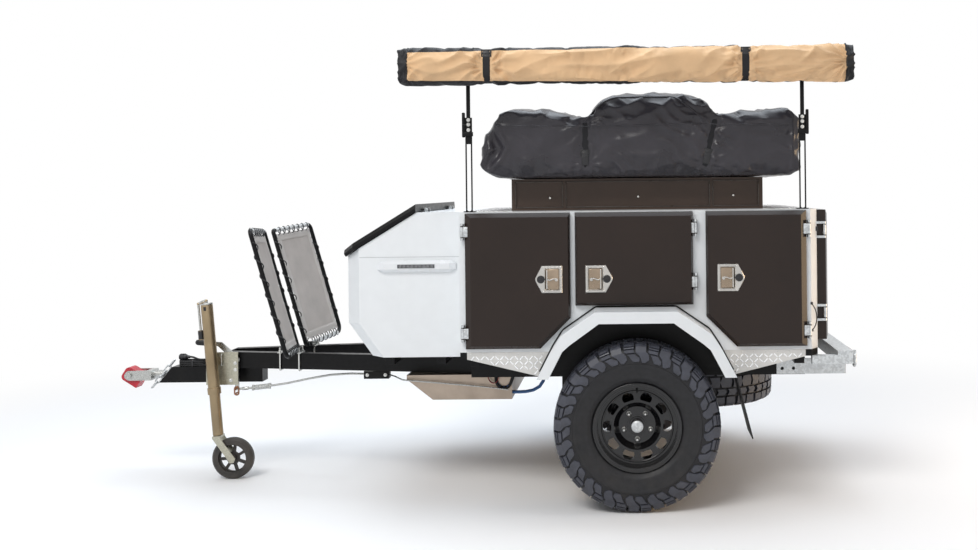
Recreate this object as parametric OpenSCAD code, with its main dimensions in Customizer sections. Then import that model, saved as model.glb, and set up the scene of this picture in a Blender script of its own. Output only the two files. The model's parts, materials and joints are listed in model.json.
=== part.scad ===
// Off-road camping trailer: a boxy load body with side doors and a nose box on an A-frame
// chassis, with two large wheels, a swing-up jockey wheel, a roof tent bag and a rolled awning.
// X runs to the rear, Y to the trailer's right and Z up. Places along X count from the axle
// until the whole trailer is shifted so that its length is centred on the origin.

/* [Wheels] */
// Outer radius of the tyre
tyre_r = 419; // [390:1:425]
// Width of the tyre
tyre_w = 285; // [250:1:300]
// Distance from the body's side to the middle of each tyre
wheel_out = 90; // [85:1:100]
// Radius of the rim's flange
rim_r = 221; // [210:1:230]
// Width of the rim over its flanges
rim_w = 220; // [200:1:230]
// Number of lugs round each shoulder of the tyre
tyre_lugs = 20; // [16:1:24]
// Depth of the slots between the lugs
lug_depth = 12; // [8:1:14]
// Number of windows in the rim's disc
rim_windows = 10; // [6:1:12]
// Radius of the stub axle
stub_r = 20; // [16:1:24]
// Distance of the spare wheel's centre behind the axle
spare_x = 364; // [360:1:380]

/* [Body] */
// Distance of the body's front face ahead of the axle
body_front = 905; // [895:1:915]
// Distance of the body's rear face behind the axle
body_rear = 942; // [935:1:960]
// Half of the body's width
body_half_w = 700; // [690:1:710]
// Height of the side walls' lower edge
body_low_z = 770; // [765:1:775]
// Height of the deck's upper face
body_top_z = 1490; // [1485:1:1510]
// Thickness of the body's walls and deck
wall_t = 25; // [18:1:30]
// Thickness of the floor
floor_t = 35; // [25:1:38]
// Depth of the rear corner's chamfer along the trailer
corner_x = 42; // [30:1:50]
// Depth of the rear corner's chamfer across the trailer
corner_y = 60; // [40:1:65]

/* [Doors] */
// Thickness of a door
door_t = 35; // [25:1:45]
// Gap between a door and the wall behind it
door_gap = 5; // [4:0.5:8]
// Overlap of a door on the wall round its opening
door_lap = 25; // [15:1:30]
// Height of the long doors' lower edge
door_low_z = 789; // [785:1:800]
// Height of the doors' upper edge
door_top_z = 1484; // [1470:1:1484]
// Height of the middle door's lower edge
mid_door_low_z = 1007; // [1005:1:1030]
// Size of the lower corner that is cut off beside the fender
door_cut = 156; // [155:1:170]
// Front edge of the front door ahead of the axle
front_door_lead = 872; // [868:1:873]
// Rear edge of the front door ahead of the axle
front_door_tail = 334; // [332:1:340]
// Front edge of the middle door ahead of the axle
mid_door_lead = 309; // [300:1:312]
// Rear edge of the middle door behind the axle
mid_door_tail = 295; // [285:1:300]
// Front edge of the rear side door behind the axle
rear_side_lead = 361; // [355:1:368]
// Rear edge of the rear side door behind the axle
rear_side_tail = 876; // [870:1:878]
// Height of the rear door's lower edge
rear_door_low_z = 809; // [800:1:830]
// Thickness of the rear door
rear_door_t = 58; // [45:1:60]
// Distance from the body's side to the rear door's edge
rear_door_in = 82; // [80:1:110]

/* [Nose box] */
// Length of the nose box ahead of the body
nose_len = 613; // [590:1:640]
// Half of the nose box's width
nose_half_w = 610; // [580:1:630]
// Size of the nose box's corner chamfers
nose_chamfer = 75; // [50:1:90]
// Height of the front face's lower edge
nose_face_low_z = 912; // [880:1:930]
// Height of the front face's upper edge
nose_face_top_z = 1260; // [1230:1:1290]
// Length of the flat top behind the lid
nose_flat_len = 235; // [200:1:260]
// Thickness of the nose box's walls
nose_wall = 20; // [12:1:25]
// Run of the lower slant
nose_slant = 125; // [90:1:140]
// Thickness of the lid
lid_t = 34; // [28:1:38]

/* [Fenders] */
// Half width and height of the fender's top corners
fender_top_half_w = 205; // [195:1:215]
// Height of the fender's top
fender_top_z = 996; // [980:1:998]
// Half width at the fender's shoulder
fender_shoulder_half_w = 374; // [365:1:376]
// Height of the fender's shoulder
fender_shoulder_z = 880; // [870:1:885]
// Half width at the fender's foot
fender_foot_half_w = 494; // [480:1:500]
// Height of the fender's foot
fender_foot_z = 668; // [655:1:690]
// Distance from the body's side to the fender's outer face
fender_out = 230; // [225:1:240]
// Depth of the fender's turned-down lip
fender_lip = 58; // [40:1:62]
// Thickness of the fender's sheet
fender_t = 4; // [3:0.5:6]

/* [Chassis] */
// Height of the chassis rails' lower face
rail_z = 605; // [600:1:610]
// Depth of the chassis rails
rail_h = 90; // [80:1:92]
// Width of the chassis rails
rail_w = 50; // [40:1:55]
// Distance from the body's side to the main rails' outer faces
rail_in = 210; // [205:1:215]
// Distance from the centreline to the A-frame's outer face at its front end
draw_front_y = 90; // [80:1:95]
// Distance from the centreline to the A-frame's outer face at the front cross member
draw_rear_y = 360; // [340:1:370]
// Front end of the A-frame rails ahead of the axle
draw_front_x = 2330; // [2310:1:2340]
// Side of the square drawbar beam
beam_w = 90; // [80:1:90]
// Reach of the drawbar beam ahead of the A-frame
beam_out = 414; // [405:1:425]
// Radius of the vertical tow pin's hole in the coupling block
tow_pin_r = 13; // [10:0.5:14]

/* [Jockey wheel] */
// Lean of the jockey wheel's tube, with its top forward
jack_lean = 4.5; // [0:0.5:6]
// Outer radius of the jockey wheel's tube
jack_tube_r = 32; // [28:1:34]
// Wall of the jockey wheel's tube
jack_wall = 3; // [2.5:0.5:4]
// Radius of the jockey wheel
jack_wheel_r = 115; // [100:1:120]
// Height of the swing pivot
jack_pivot_z = 650; // [640:1:660]
// Distance of the swing pivot ahead of the A-frame
jack_ahead = 53; // [45:1:65]
// Distance from the centreline to the jockey wheel
jack_y = 190; // [188:1:200]
// Trail of the caster wheel behind its swivel
jack_trail = 74; // [60:1:80]

/* [Rock guard] */
// Width of each rock guard screen
guard_w = 532; // [480:1:560]
// Height of the rock guard along its lean
guard_h = 700; // [650:1:720]
// Lean of the rock guard, with its top forward
guard_lean = 15.7; // [10:0.1:18]
// Sweep of each screen back from the middle
guard_sweep = 10.4; // [5:0.1:12]
// Place of the rock guard's foot between the nose box and the A-frame's front end
guard_place_share = 0.5271; // [0.5:0.0001:0.55]
// Radius of the rock guard's tubes
guard_tube_r = 12; // [10:1:14]

/* [Roof] */
// Length of the riser box under the tent
riser_len = 1360; // [1300:1:1400]
// Half of the riser box's width
riser_half_w = 400; // [380:1:450]
// Height of the riser box
riser_h = 170; // [150:1:180]
// Length of the tent bag
tent_len = 1673; // [1600:1:1700]
// Distance from the body's side to the tent bag's side
tent_in = 100; // [80:1:140]
// Height of the tent bag at its ends
tent_h = 362; // [340:1:380]
// Height of the hump over the tent bag's middle
tent_hump_h = 80; // [60:1:100]
// Length of the awning bag
awning_len = 2267; // [2200:1:2300]
// Height of the awning bag's lower face
awning_z = 2130; // [2110:1:2150]
// Height of the awning bag
awning_h = 191; // [170:1:200]
// Depth of the awning bag
awning_d = 150; // [120:1:160]
// Distance from the body's side to the awning bag's middle
awning_out = 100; // [90:1:110]
// Width of the awning posts' slotted bars
post_w = 35; // [30:1:40]

/* [Rear] */
// Distance of the bumper's rear face behind the axle
bumper_rear = 1117; // [1105:1:1125]
// Depth of the bumper beam along the trailer
bumper_d = 80; // [60:1:85]
// Height of the bumper beam
bumper_h = 67; // [60:1:70]
// Distance from the body's side to the bumper's ends
bumper_in = 10; // [0:1:30]

/* [Hidden] */
$fn = 48;

// Shared clearances
fit_gap = 0.3;
play = 0.05;
over = 1;
white = "#E9ECEF";
door_black = "#2A2624";
frame_black = "#1B1B1C";
galvanised = "#B9BCBD";
olive_zinc = "#8A7F5C";

// Wheel
bead_drop = 18;
bead_r = rim_r - bead_drop;
flange_t = 8;
barrel_t = 4;
barrel_in_r = bead_r - barrel_t;
bead_half = rim_w/2 - flange_t - fit_gap;
bulge_share = 0.5;
bulge_r = bead_r + (tyre_r - bead_r)*bulge_share;
shoulder_drop = 34;
crown_share = 0.41;
crown_half = tyre_w*crown_share;
sidewall_in = 8;
bead_rise = 40;
bead_out = 20;
lug_slot = 17;
lug_side_depth = 7;
lug_start = 15;
rib_half = 34;
rib_groove = 10;
disc_face_w = 30;
disc_t = 6;
disc_dish = 32;
disc_bore_r = 50;
disc_flat_r = 92;
disc_rise_r = 118;
window_pitch_r = 146;
window_r = 29;
window_flat = 16;
hub_drum_r = 140;
hub_drum_w = 60;
hub_r = 49.7;
hub_back = 75;
hub_cap_r = 30;
hub_ring_r = 41;
hub_ring_w = 12;
hub_cap_w = 40;
hub_bore_end = 12;
wheel_y = body_half_w + wheel_out;
spare_z = 548;

// Body
deck_low_z = body_top_z - wall_t;
floor_low_z = body_low_z - floor_t;
floor_inset = 5;
floor_half_w = body_half_w - floor_inset;
tub_depth = 100;
tub_y = body_half_w - tub_depth;
tub_t = 3;
rear_door_half_w = body_half_w - rear_door_in;
rear_open_half_w = rear_door_half_w - door_lap*2;
post_in_share = 0.6;
door_in_y = body_half_w + door_gap;
door_out_y = door_in_y + door_t;

// Side doors: front edge, rear edge, lower edge, cut corner, hinge side, cut side, hinge heights,
// latch place and the way the latch's point looks. Sides are -1 for the front and 1 for the rear.
long_hinge_shares = [0.1165, 0.8645];
mid_hinge_shares = [0.247, 0.824];
long_hinge_zs = [for (s = long_hinge_shares) door_low_z + s*(door_top_z - door_low_z)];
mid_hinge_zs = [for (s = mid_hinge_shares) mid_door_low_z + s*(door_top_z - mid_door_low_z)];
front_latch_in = 108;
mid_latch_in = 122;
rear_side_latch_in = 125;
front_latch_x = -front_door_tail - front_latch_in;
mid_latch_x = mid_latch_in - mid_door_lead;
rear_side_latch_x = rear_side_lead + rear_side_latch_in;
FRONT_DOOR = [-front_door_lead, -front_door_tail, door_low_z, door_cut, -1, 1, long_hinge_zs,
    front_latch_x, -1];
MID_DOOR = [-mid_door_lead, mid_door_tail, mid_door_low_z, 0, 1, 0, mid_hinge_zs,
    mid_latch_x, 1];
REAR_SIDE_DOOR = [rear_side_lead, rear_side_tail, door_low_z, door_cut, 1, -1, long_hinge_zs,
    rear_side_latch_x, 1];
SIDE_DOORS = [FRONT_DOOR, MID_DOOR, REAR_SIDE_DOOR];
door_rim = 12;
bevel_hinge = 30;
bevel_free = 10;
bevel_low = 17;
bevel_top = 22;

// Hinges: a pin between two lugs on the wall, and a knuckle on the door
hinge_reach = 14;
hinge_out = 26;
hinge_y = body_half_w + hinge_out;
pin_r = 5;
knuckle_r = 8;
knuckle_len = 60;
lug_t = 12;
lug_gap = 1;
leaf_t = 6;
leaf_in_share = 0.75;
leaf_in = bevel_hinge*leaf_in_share;
rear_hinge_out = 43;
rear_hinge_x = body_rear + rear_hinge_out;
rear_hinge_y = rear_door_half_w + hinge_reach;
rear_hinge_shares = [0.209, 0.846];
rear_hinge_zs = [for (s = rear_hinge_shares) rear_door_low_z + s*(door_top_z - rear_door_low_z)];
lid_hinge_reach = 18;
lid_hinge_rise = 13;
lid_hinge_share = 0.623;
lid_hinge_ys = [-lid_hinge_share*nose_half_w, lid_hinge_share*nose_half_w];

// Latches
latch_w = 138;
latch_h = 140;
latch_t = 6;
latch_z = 1145;
latch_point = 34;
grip_w = 62;
grip_h = 96;
grip_t = 10;
lock_r = 11;
lock_t = 5;
rear_latch_in = 138;
rear_latch_y = rear_door_half_w - rear_latch_in;

// Nose box
corner_inset_share = 0.59;
nose_low_z = floor_low_z;
nose_front = body_front + nose_len;
nose_flat_x = body_front + nose_flat_len;
lid_slope = atan2(body_top_z - nose_face_top_z, nose_front - nose_flat_x);
lid_run = norm([body_top_z - nose_face_top_z, nose_front - nose_flat_x]);
lid_over = 10;
lid_gap = 5;
lid_hinge_set = 14;
lid_hinge_x = nose_flat_x - lid_hinge_set;
lid_hinge_z = body_top_z + lid_hinge_rise;
light_len = 410;
light_h = 62;
light_t = 25;
light_end = 34;
light_mid_x = 1140;
light_z = 1211;
light_window_len = 195;
light_window_h = 20;
light_window_t = 2;

// Chassis
rail_top_z = rail_z + rail_h;
main_rail_y = body_half_w - rail_in;
main_rail_front = 880;
main_rail_rear = 900;
cross_front_x = 880;
cross_w = 60;
bearer_w = 50;
bearer_in = 20;
bearer_well_in = 110;
// Bearers' places as shares of the nose box's length and of the body ahead of and behind the axle
nose_bearer_shares = [0.63, 0.19];
front_bearer_shares = [0.917, 0.619];
rear_bearer_shares = [0.594, 0.892];
mid_bearer_share = 0.177;
BEARERS = concat(
    [for (s = nose_bearer_shares) [-body_front - s*nose_len, nose_half_w - bearer_in]],
    [for (s = front_bearer_shares) [-s*body_front, body_half_w - bearer_in]],
    [for (x = [-mid_bearer_share*body_front, spare_x]) [x, body_half_w - bearer_well_in]],
    [for (s = rear_bearer_shares) [s*body_rear, body_half_w - bearer_in]]);
beam_lap = 180;
beam_front_x = draw_front_x + beam_out;
beam_rear_x = draw_front_x - beam_lap;
beam_top_z = rail_z;
beam_low_z = beam_top_z - beam_w;
beam_cut = 75;
end_plate_t = 8;
carrier_rod_r = 12;
carrier_plate_r = 75;
carrier_plate_t = 8;

// Coupling
shaft_r = 24;
shaft_z = 557;
shaft_out = 68;
shaft_in = 90;
shaft_front_x = beam_front_x + shaft_out;
yoke_end_r = 28;
yoke_in = 38;
yoke_t = 12;
yoke_base_len = 30;
yoke_base_ahead = 7;
yoke_arm_len = 95;
bolt_ahead = 6;
yoke_base_x = shaft_front_x + yoke_base_ahead;
yoke_front_x = yoke_base_x + yoke_arm_len;
bolt_x = yoke_front_x + bolt_ahead;
bolt_r = 12;
bolt_head_r = 19;
bolt_head_t = 12;
block_half_w = yoke_in - fit_gap;
block_len = 108;
block_h = 83;
block_tip = 24;
block_turn = 33;
block_bolt_in = 38;
block_pin_in = 78;

// Safety chain
chain_wire_r = 4;
chain_link_l = 26;
chain_link_w = 11;
chain_y = 40;
chain_links = 5;
chain_tail = 14;

// Jockey wheel, in its own frame with the swing pivot at the origin
jack_pivot_x = draw_front_x + jack_ahead;
jack_top = 336;
jack_low = 175;
jack_leg_low = 406;
jack_leg_top = 30;
jack_leg_r = jack_tube_r - jack_wall - play;
jack_wheel_drop = (jack_pivot_z - jack_wheel_r + jack_trail*sin(jack_lean))/cos(jack_lean);
jack_sleeve_r = 30;
jack_pin_r = 14;
jack_plate_y = 122;
jack_plate_t = 8;
jack_plate_ahead = 57;
jack_plate_behind = 124;
jack_plate_x0 = jack_pivot_x + jack_plate_ahead;
jack_plate_x1 = jack_pivot_x - jack_plate_behind;
jack_plate_z0 = 514;
jack_plate_z1 = 699;
jack_arm_w = 80;
jack_arm_h = 74;
jack_cap_h = 14;
jack_collar_h = 30;
jack_collar_t = 4;
jack_collar_r = jack_tube_r + jack_collar_t;
crank_r = 6;
crank_elbow_r = 8;
crank_out = 46;
crank_knob_r = 15;
crank_knob_len = 52;
crank_drop = 150;
stem_r = 14;
stem_len = 60;
stem_in_share = 0.9;
fork_half_w = 31;
fork_t = 5;
fork_crown_h = 12;
fork_axle_r = 8;
fork_cheek_r = 22;
fork_gap = 2;
jack_tyre_w = 50;
jack_hub_w = 60;
jack_hub_r = 24;
jack_rim_r = 78;
jack_web_t = 12;
jack_window_in_r = 36;
jack_window_out_r = 72;
jack_spoke_w = 16;
jack_windows = 7;

// Handbrake lever and its linkage
lever_y = 109;
lever_t = 10;
lever_behind = 113;
lever_pivot_x = jack_pivot_x - lever_behind;
lever_pivot_z = 655;
lever_boss_r = 16;
lever_arm_w = 22;
lever_rise_x = 95;
lever_rise_z = 88;
lever_grip_x = 225;
lever_grip_z = 100;
lever_drop = 175;

// Rock guard
guard_x = nose_front + guard_place_share*(draw_front_x - nose_front);
guard_rail_y = draw_front_y - rail_w + (draw_rear_y - draw_front_y)*(draw_front_x - guard_x)
    /(draw_front_x - cross_front_x);
guard_rise = guard_rail_y*tan(guard_sweep)*sin(guard_lean);
guard_z = rail_top_z + guard_tube_r + fit_gap - guard_rise;
guard_screen_t = 4;
guard_in = 75;

// Tank guard
tank_x0 = 1244;
tank_x1 = 674;
tank_z = 470;
tank_half_w = 400;
tank_cut_x = 141;
tank_cut_z = 112;

// Fender and tub outlines, from foot to foot
fender_knee_share = 0.36;
shoulder_in_shares = [0.75, 0.8];
top_in_share = 0.35;
fender_knee_out_share = 0.41;
fender_knee_half_w = fender_shoulder_half_w
    + (fender_foot_half_w - fender_shoulder_half_w)*fender_knee_out_share;
fender_knee_z = fender_shoulder_z - (fender_shoulder_z - fender_foot_z)*fender_knee_share;
fender_y = body_half_w + fender_out;
flap_len = 312;
flap_t = 6;
flap_lean = 14;
flap_in = 8;
sill_t = 5;
sill_front_low = 36;
sill_foot_in = 12;
sill_foot_z = 645;

// Suspension
arm_pivot_x = 330;
arm_pivot_z = 545;
arm_gap = 15;
arm_y = main_rail_y + arm_gap;
arm_w = 60;
arm_boss_r = 38;
arm_end_r = 46;
hanger_t = 8;
hanger_half_l = 60;
hanger_w = 90;
hanger_y1 = main_rail_y + hanger_w;
hanger_top_z = 690;
hanger_low_z = 500;
hanger_bolt_r = 16;
bag_x = 90;
bag_out = 53;
bag_y = main_rail_y + bag_out;
bag_r = 48;
bag_seat_z = 640;
bag_seat_t = 8;
axle_z = tyre_r;

// Rear end
bumper_half_w = body_half_w - bumper_in;
bumper_low_z = 690;
bumper_plate_x0 = 747;
bumper_plate_t = 8;
bumper_plate_z = 608;
bumper_hole_r = 9;
bumper_hole_in = 30;
bumper_hole_pitch = 60;
bumper_return_w = 40;
bumper_return_x = 905;
lug_out = 18;
lug_thick = 16;
lug_in = 28;
lug_y = bumper_half_w - lug_in;
shackle_wire_r = 7;
shackle_bow_r = 22;
shackle_eye_r = 8.6;
shackle_pin_r = 5;
shackle_leg = 36;
shackle_z = 735;
lamp_in = 220;
lamp_y0 = bumper_half_w - lamp_in;
lamp_len = 150;
lamp_h = 50;
lamp_t = 14;

// Roof
riser_x0 = -665;
riser_panel_shares = [[0.015, 0.205], [0.215, 0.79], [0.80, 0.985]];
riser_panel_in = 14;
riser_recess = 5;
tent_x0 = -805;
tent_half_w = body_half_w - tent_in;
tent_z = body_top_z + riser_h;
tent_edge_r = 70;
// Tent bag's length outline as shares of its length, height and hump
tent_shares = [[0.045, 0, 0], [0.98, 0, 0], [1, 0.12, 0], [1, 0.85, 0], [0.972, 0.985, 0], [0.745, 0.92, 0],
    [0.70, 0.97, 0.8], [0.66, 1, 1], [0.42, 1, 1], [0.38, 0.97, 0.8], [0.335, 0.90, 0], [0.205, 0.985, 0],
    [0.085, 1, 0], [0.06, 0.97, 0], [0.004, 0.52, 0], [0, 0.12, 0]];
awning_x0 = -1171;
awning_r = 55;
awning_y = body_half_w + awning_out;
post_front_in = 55;
post_rear_in = 78;
post_xs = [post_front_in - body_front, body_rear - post_rear_in];
post_t = 6;
post_in = 10;
post_y = body_half_w - post_in;
post_slot_w = 21;
post_slot_z1 = 1840;
post_top_z = 1976;
post_foot_h = 5;
post_foot_w = 60;
post_foot_d = 40;
upper_w = 20;
upper_z0 = 1900;
upper_top_in = 40;

// Free lead on the drawbar and its coil
lead_r = 5.5;
lead_sides = 10;
// Lead's points: distance ahead of the A-frame, place across and height
LEAD_POINTS = [[17, -34, 620], [40, -34, 619.5], [64, -34, 617], [88, -34.2, 613.6],
    [112, -34.4, 612], [134.7, -34.5, 611.7]];
lead_route = [for (p = LEAD_POINTS) [-draw_front_x - p[0], p[1], p[2]]];
gland_r = 12;
gland_len = 8.7;
coil_len = 180;
coil_ahead = 135;
coil_x1 = -draw_front_x - coil_ahead;
coil_x0 = coil_x1 - coil_len;
coil_half_w = 40;
coil_h = 33;
plug_r = 16;
plug_len = 62;

// Held hoses and the brake cable, as routes
blue_hose_r = 9;
blue_hose_route = [[-673.5, -380, 505], [-640, -382, 505], [-600, -384, 507], [-560, -386, 515],
    [-525, -388, 535], [-505, -390, 565], [-497, -392, 610], [-494, -394, 660], [-493, -395, 734.7]];
black_hose_r = 8;
black_hose_route = [[-760, -409, 604.7], [-758, -410, 575], [-750, -411, 550], [-730, -412, 535],
    [-705, -412, 534], [-684, -411, 550], [-672, -410, 580], [-660, -408, 620], [-655, -406, 660],
    [-653, -405, 734.7]];
brake_rod_r = 6;
brake_cable_r = 4;
brake_rear_route = [[-1375.5, -238, 582], [-1330, -300, 582], [-1290, -370, 582],
    [-1262, -415, 582], [-1200, -426, 578], [-1000, -427, 560], [-800, -427, 540],
    [-690, -427, 526]];
clamp_x0 = 1514;
clamp_x1 = 1376;
// Brake rod's points: share of its run from the lever to the clamp, place across and height
BRAKE_POINTS = [[0, -114, 488], [0.0767, -115, 492], [0.2113, -120, 502], [0.3728, -130, 520],
    [0.5478, -148, 548], [0.7227, -172, 572], [0.8843, -196, 582], [1, -212, 582]];
brake_behind = 13;
brake_x = brake_behind - lever_pivot_x;
brake_route = [for (b = BRAKE_POINTS) [brake_x - b[0]*(brake_x + clamp_x0), b[1], b[2]]];
clamp_h = 44;
clamp_w = 50;
clamp_y = 225;

// Whole length, from the coupling block's tip to the shackle, centred on the origin
coupling_ahead = 51;
coupling_reach = bolt_x + coupling_ahead;
shackle_reach = bumper_rear + lug_out;
axle_x = (coupling_reach - shackle_reach)/2;

// Helpers

module at_axle() { translate([axle_x, 0, 0]) children(); }

module both_sides() {
    children();
    mirror([0, 1, 0]) children();
}

module cuboid(x0, x1, y0, y1, z0, z1) {
    translate([x0, y0, z0]) cube([x1 - x0, y1 - y0, z1 - z0]);
}

// A side outline in X and Z, made solid from y0 to y1
module side_plate(y0, y1) {
    translate([0, y1, 0]) rotate([90, 0, 0]) linear_extrude(y1 - y0) children();
}

module round_bar_y(r, x, z, y0, y1) {
    translate([x, y0, z]) rotate([-90, 0, 0]) cylinder(r = r, h = y1 - y0);
}

module round_rect(w, h, r) {
    translate([r, 0]) square([w - 2*r, h]);
    translate([0, r]) square([w, h - 2*r]);
    for (x = [r, w - r], y = [r, h - r]) translate([x, y]) circle(r = r);
}

module tube_between(a, b, r) {
    d = b - a;
    translate(a) rotate([0, acos(d.z/norm(d)), atan2(d.y, d.x)]) cylinder(r = r, h = norm(d));
}

function unit(v) = v/norm(v);

function path_dir(p, i) = i == 0 ? unit(p[1] - p[0])
    : i == len(p) - 1 ? unit(p[i] - p[i - 1])
    : unit(unit(p[i + 1] - p[i]) + unit(p[i] - p[i - 1]));

// A round tube swept along a route's own points
module swept_tube(route, r, sides) {
    n = len(route);
    rings = [for (i = [0:n - 1])
        let (d = path_dir(route, i), u = unit(cross([0, 1, 0], d)), v = cross(d, u))
        for (k = [0:sides - 1]) route[i] + r*(cos(360*k/sides)*u + sin(360*k/sides)*v)];
    walls = [for (i = [0:n - 2], k = [0:sides - 1])
        [i*sides + k, (i + 1)*sides + k, (i + 1)*sides + (k + 1)%sides, i*sides + (k + 1)%sides]];
    caps = [[for (k = [0:sides - 1]) k], [for (k = [sides - 1:-1:0]) (n - 1)*sides + k]];
    polyhedron(rings, concat(walls, caps));
}

// Wheels

// Half section of the tyre, with its tread and shoulder set in by the given depths
module tyre_section(drop, side_drop) {
    half = tyre_w/2;
    side = [[bead_r + fit_gap, bead_half], [rim_r + fit_gap, bead_half],
        [bead_r + bead_rise, bead_half + bead_out], [bulge_r, half],
        [tyre_r - shoulder_drop - drop, half - sidewall_in - side_drop],
        [tyre_r - drop, crown_half - side_drop]];
    polygon(concat(side, [for (i = [len(side) - 1:-1:0]) [side[i].x, -side[i].y]]));
}

module tyre_turned(drop, side_drop) { rotate_extrude($fn = 48) tyre_section(drop, side_drop); }

// Plan of one lug, between the slots on either side of it
module lug_plan() {
    turn = 180/tyre_lugs - asin(lug_slot/2/tyre_r);
    inner = bulge_r + lug_start;
    outer = tyre_r/cos(turn) + over;
    polygon([for (p = [[inner, -turn], [outer, -turn], [outer, turn], [inner, turn]])
        p[0]*[cos(p[1]), sin(p[1])]]);
}

// Carcass with a middle rib, and lugs that wrap over each shoulder, half a pitch apart
module tyre_solid() {
    pitch = 360/tyre_lugs;
    rib = rib_half - rib_groove;
    tyre_turned(lug_depth, lug_side_depth);
    intersection() {
        tyre_turned(0, 0);
        union() {
            for (i = [0:tyre_lugs - 1]) rotate([0, 0, i*pitch]) {
                translate([0, 0, rib_half]) linear_extrude(tyre_w) lug_plan();
                rotate([0, 0, pitch/2]) translate([0, 0, -tyre_w - rib_half])
                    linear_extrude(tyre_w) lug_plan();
            }
            rotate_extrude($fn = 48) translate([tyre_r - shoulder_drop, -rib])
                square([shoulder_drop + over, 2*rib]);
        }
    }
}

module rim_barrel_section() {
    half = rim_w/2;
    polygon([[barrel_in_r, -half], [rim_r, -half], [rim_r, flange_t - half],
        [bead_r, flange_t - half], [bead_r, half - flange_t], [rim_r, half - flange_t],
        [rim_r, half], [barrel_in_r, half]]);
}

module rim_disc_section() {
    top = disc_face_w + disc_t;
    weld_r = barrel_in_r + barrel_t/2;
    polygon([[disc_bore_r, disc_face_w], [disc_flat_r, disc_face_w],
        [disc_rise_r, disc_face_w + disc_dish], [weld_r, disc_face_w + disc_dish],
        [weld_r, top + disc_dish], [disc_rise_r, top + disc_dish], [disc_flat_r, top],
        [disc_bore_r, top]]);
}

// D-shaped window, flat towards the rim's middle
module rim_window() {
    translate([window_pitch_r, 0]) intersection() {
        circle(r = window_r);
        translate([-window_flat, -window_r]) square([window_flat + window_r, 2*window_r]);
    }
}

module rim_solid() {
    rotate_extrude($fn = 96) rim_barrel_section();
    difference() {
        rotate_extrude($fn = 96) rim_disc_section();
        for (i = [0:rim_windows - 1]) rotate([0, 0, i*360/rim_windows])
            linear_extrude(rim_w) rim_window();
    }
}

// Brake drum, hub and cap, bored for the stub axle
module hub_solid() {
    top = disc_face_w + disc_t;
    difference() {
        union() {
            translate([0, 0, -hub_back]) cylinder(r = hub_drum_r, h = hub_drum_w);
            translate([0, 0, -hub_back]) cylinder(r = disc_flat_r, h = hub_back + disc_face_w);
            translate([0, 0, -hub_back]) cylinder(r = hub_r, h = hub_back + top);
            translate([0, 0, top - over]) cylinder(r = hub_ring_r, h = hub_ring_w + over);
            translate([0, 0, top]) cylinder(r = hub_cap_r, h = hub_cap_w);
        }
        translate([0, 0, -hub_back - over])
            cylinder(r = stub_r + play, h = hub_back + over + top + hub_bore_end);
    }
}

module on_left_hub() { translate([0, -wheel_y, axle_z]) rotate([90, 0, 0]) children(); }

module tyre_left() { color("#232324") at_axle() on_left_hub() tyre_solid(); }

module tyre_right() { mirror([0, 1, 0]) tyre_left(); }

module rim_left() {
    color("#141416") at_axle() on_left_hub() {
        rim_solid();
        hub_solid();
    }
}

module rim_right() { mirror([0, 1, 0]) rim_left(); }

module under_rear() { translate([spare_x, 0, spare_z]) rotate([180, 0, 0]) children(); }

module spare_tyre() { color("#232324") at_axle() under_rear() tyre_solid(); }

module spare_rim() { color("#141416") at_axle() under_rear() rim_solid(); }

// Chassis

// One A-frame rail from its front end to the cross member, on the left
module draw_rail() {
    linear_extrude(rail_h) polygon([[-draw_front_x, -draw_front_y],
        [-draw_front_x, rail_w - draw_front_y], [-cross_front_x, rail_w - draw_rear_y],
        [-cross_front_x, -draw_rear_y]]);
}

module chassis_frame() {
    carrier_top = rail_top_z;
    carrier_plate_z = spare_z - disc_face_w - disc_t - fit_gap - carrier_plate_t;
    color(frame_black) at_axle() {
        both_sides() {
            translate([0, 0, rail_z]) draw_rail();
            cuboid(-main_rail_front, main_rail_rear, -main_rail_y, rail_w - main_rail_y,
                rail_z, rail_top_z);
        }
        cuboid(-main_rail_front, cross_w - main_rail_front, -main_rail_y, main_rail_y,
            rail_z, rail_top_z);
        cuboid(main_rail_rear - cross_w, main_rail_rear, -main_rail_y, main_rail_y,
            rail_z, rail_top_z);
        for (b = BEARERS) cuboid(b[0] - bearer_w/2, b[0] + bearer_w/2, -b[1], b[1],
            rail_top_z, floor_low_z);
        difference() {
            side_plate(-beam_w/2, beam_w/2) polygon([[-beam_front_x, beam_low_z],
                [-beam_rear_x, beam_low_z], [-beam_rear_x, beam_top_z],
                [beam_cut - beam_front_x, beam_top_z]]);
            translate([-beam_front_x - over, 0, shaft_z]) rotate([0, 90, 0])
                cylinder(r = shaft_r + fit_gap, h = shaft_in + over + fit_gap);
        }
        cuboid(-draw_front_x - end_plate_t, -draw_front_x, -draw_front_y, draw_front_y,
            rail_z, rail_top_z);
        translate([spare_x, 0, carrier_plate_z]) {
            cylinder(r = carrier_rod_r, h = carrier_top - carrier_plate_z + over);
            cylinder(r = carrier_plate_r, h = carrier_plate_t);
        }
    }
}

// Coupling: a yoke on a shaft, with a cushion block that hangs on the yoke's cross bolt

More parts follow.
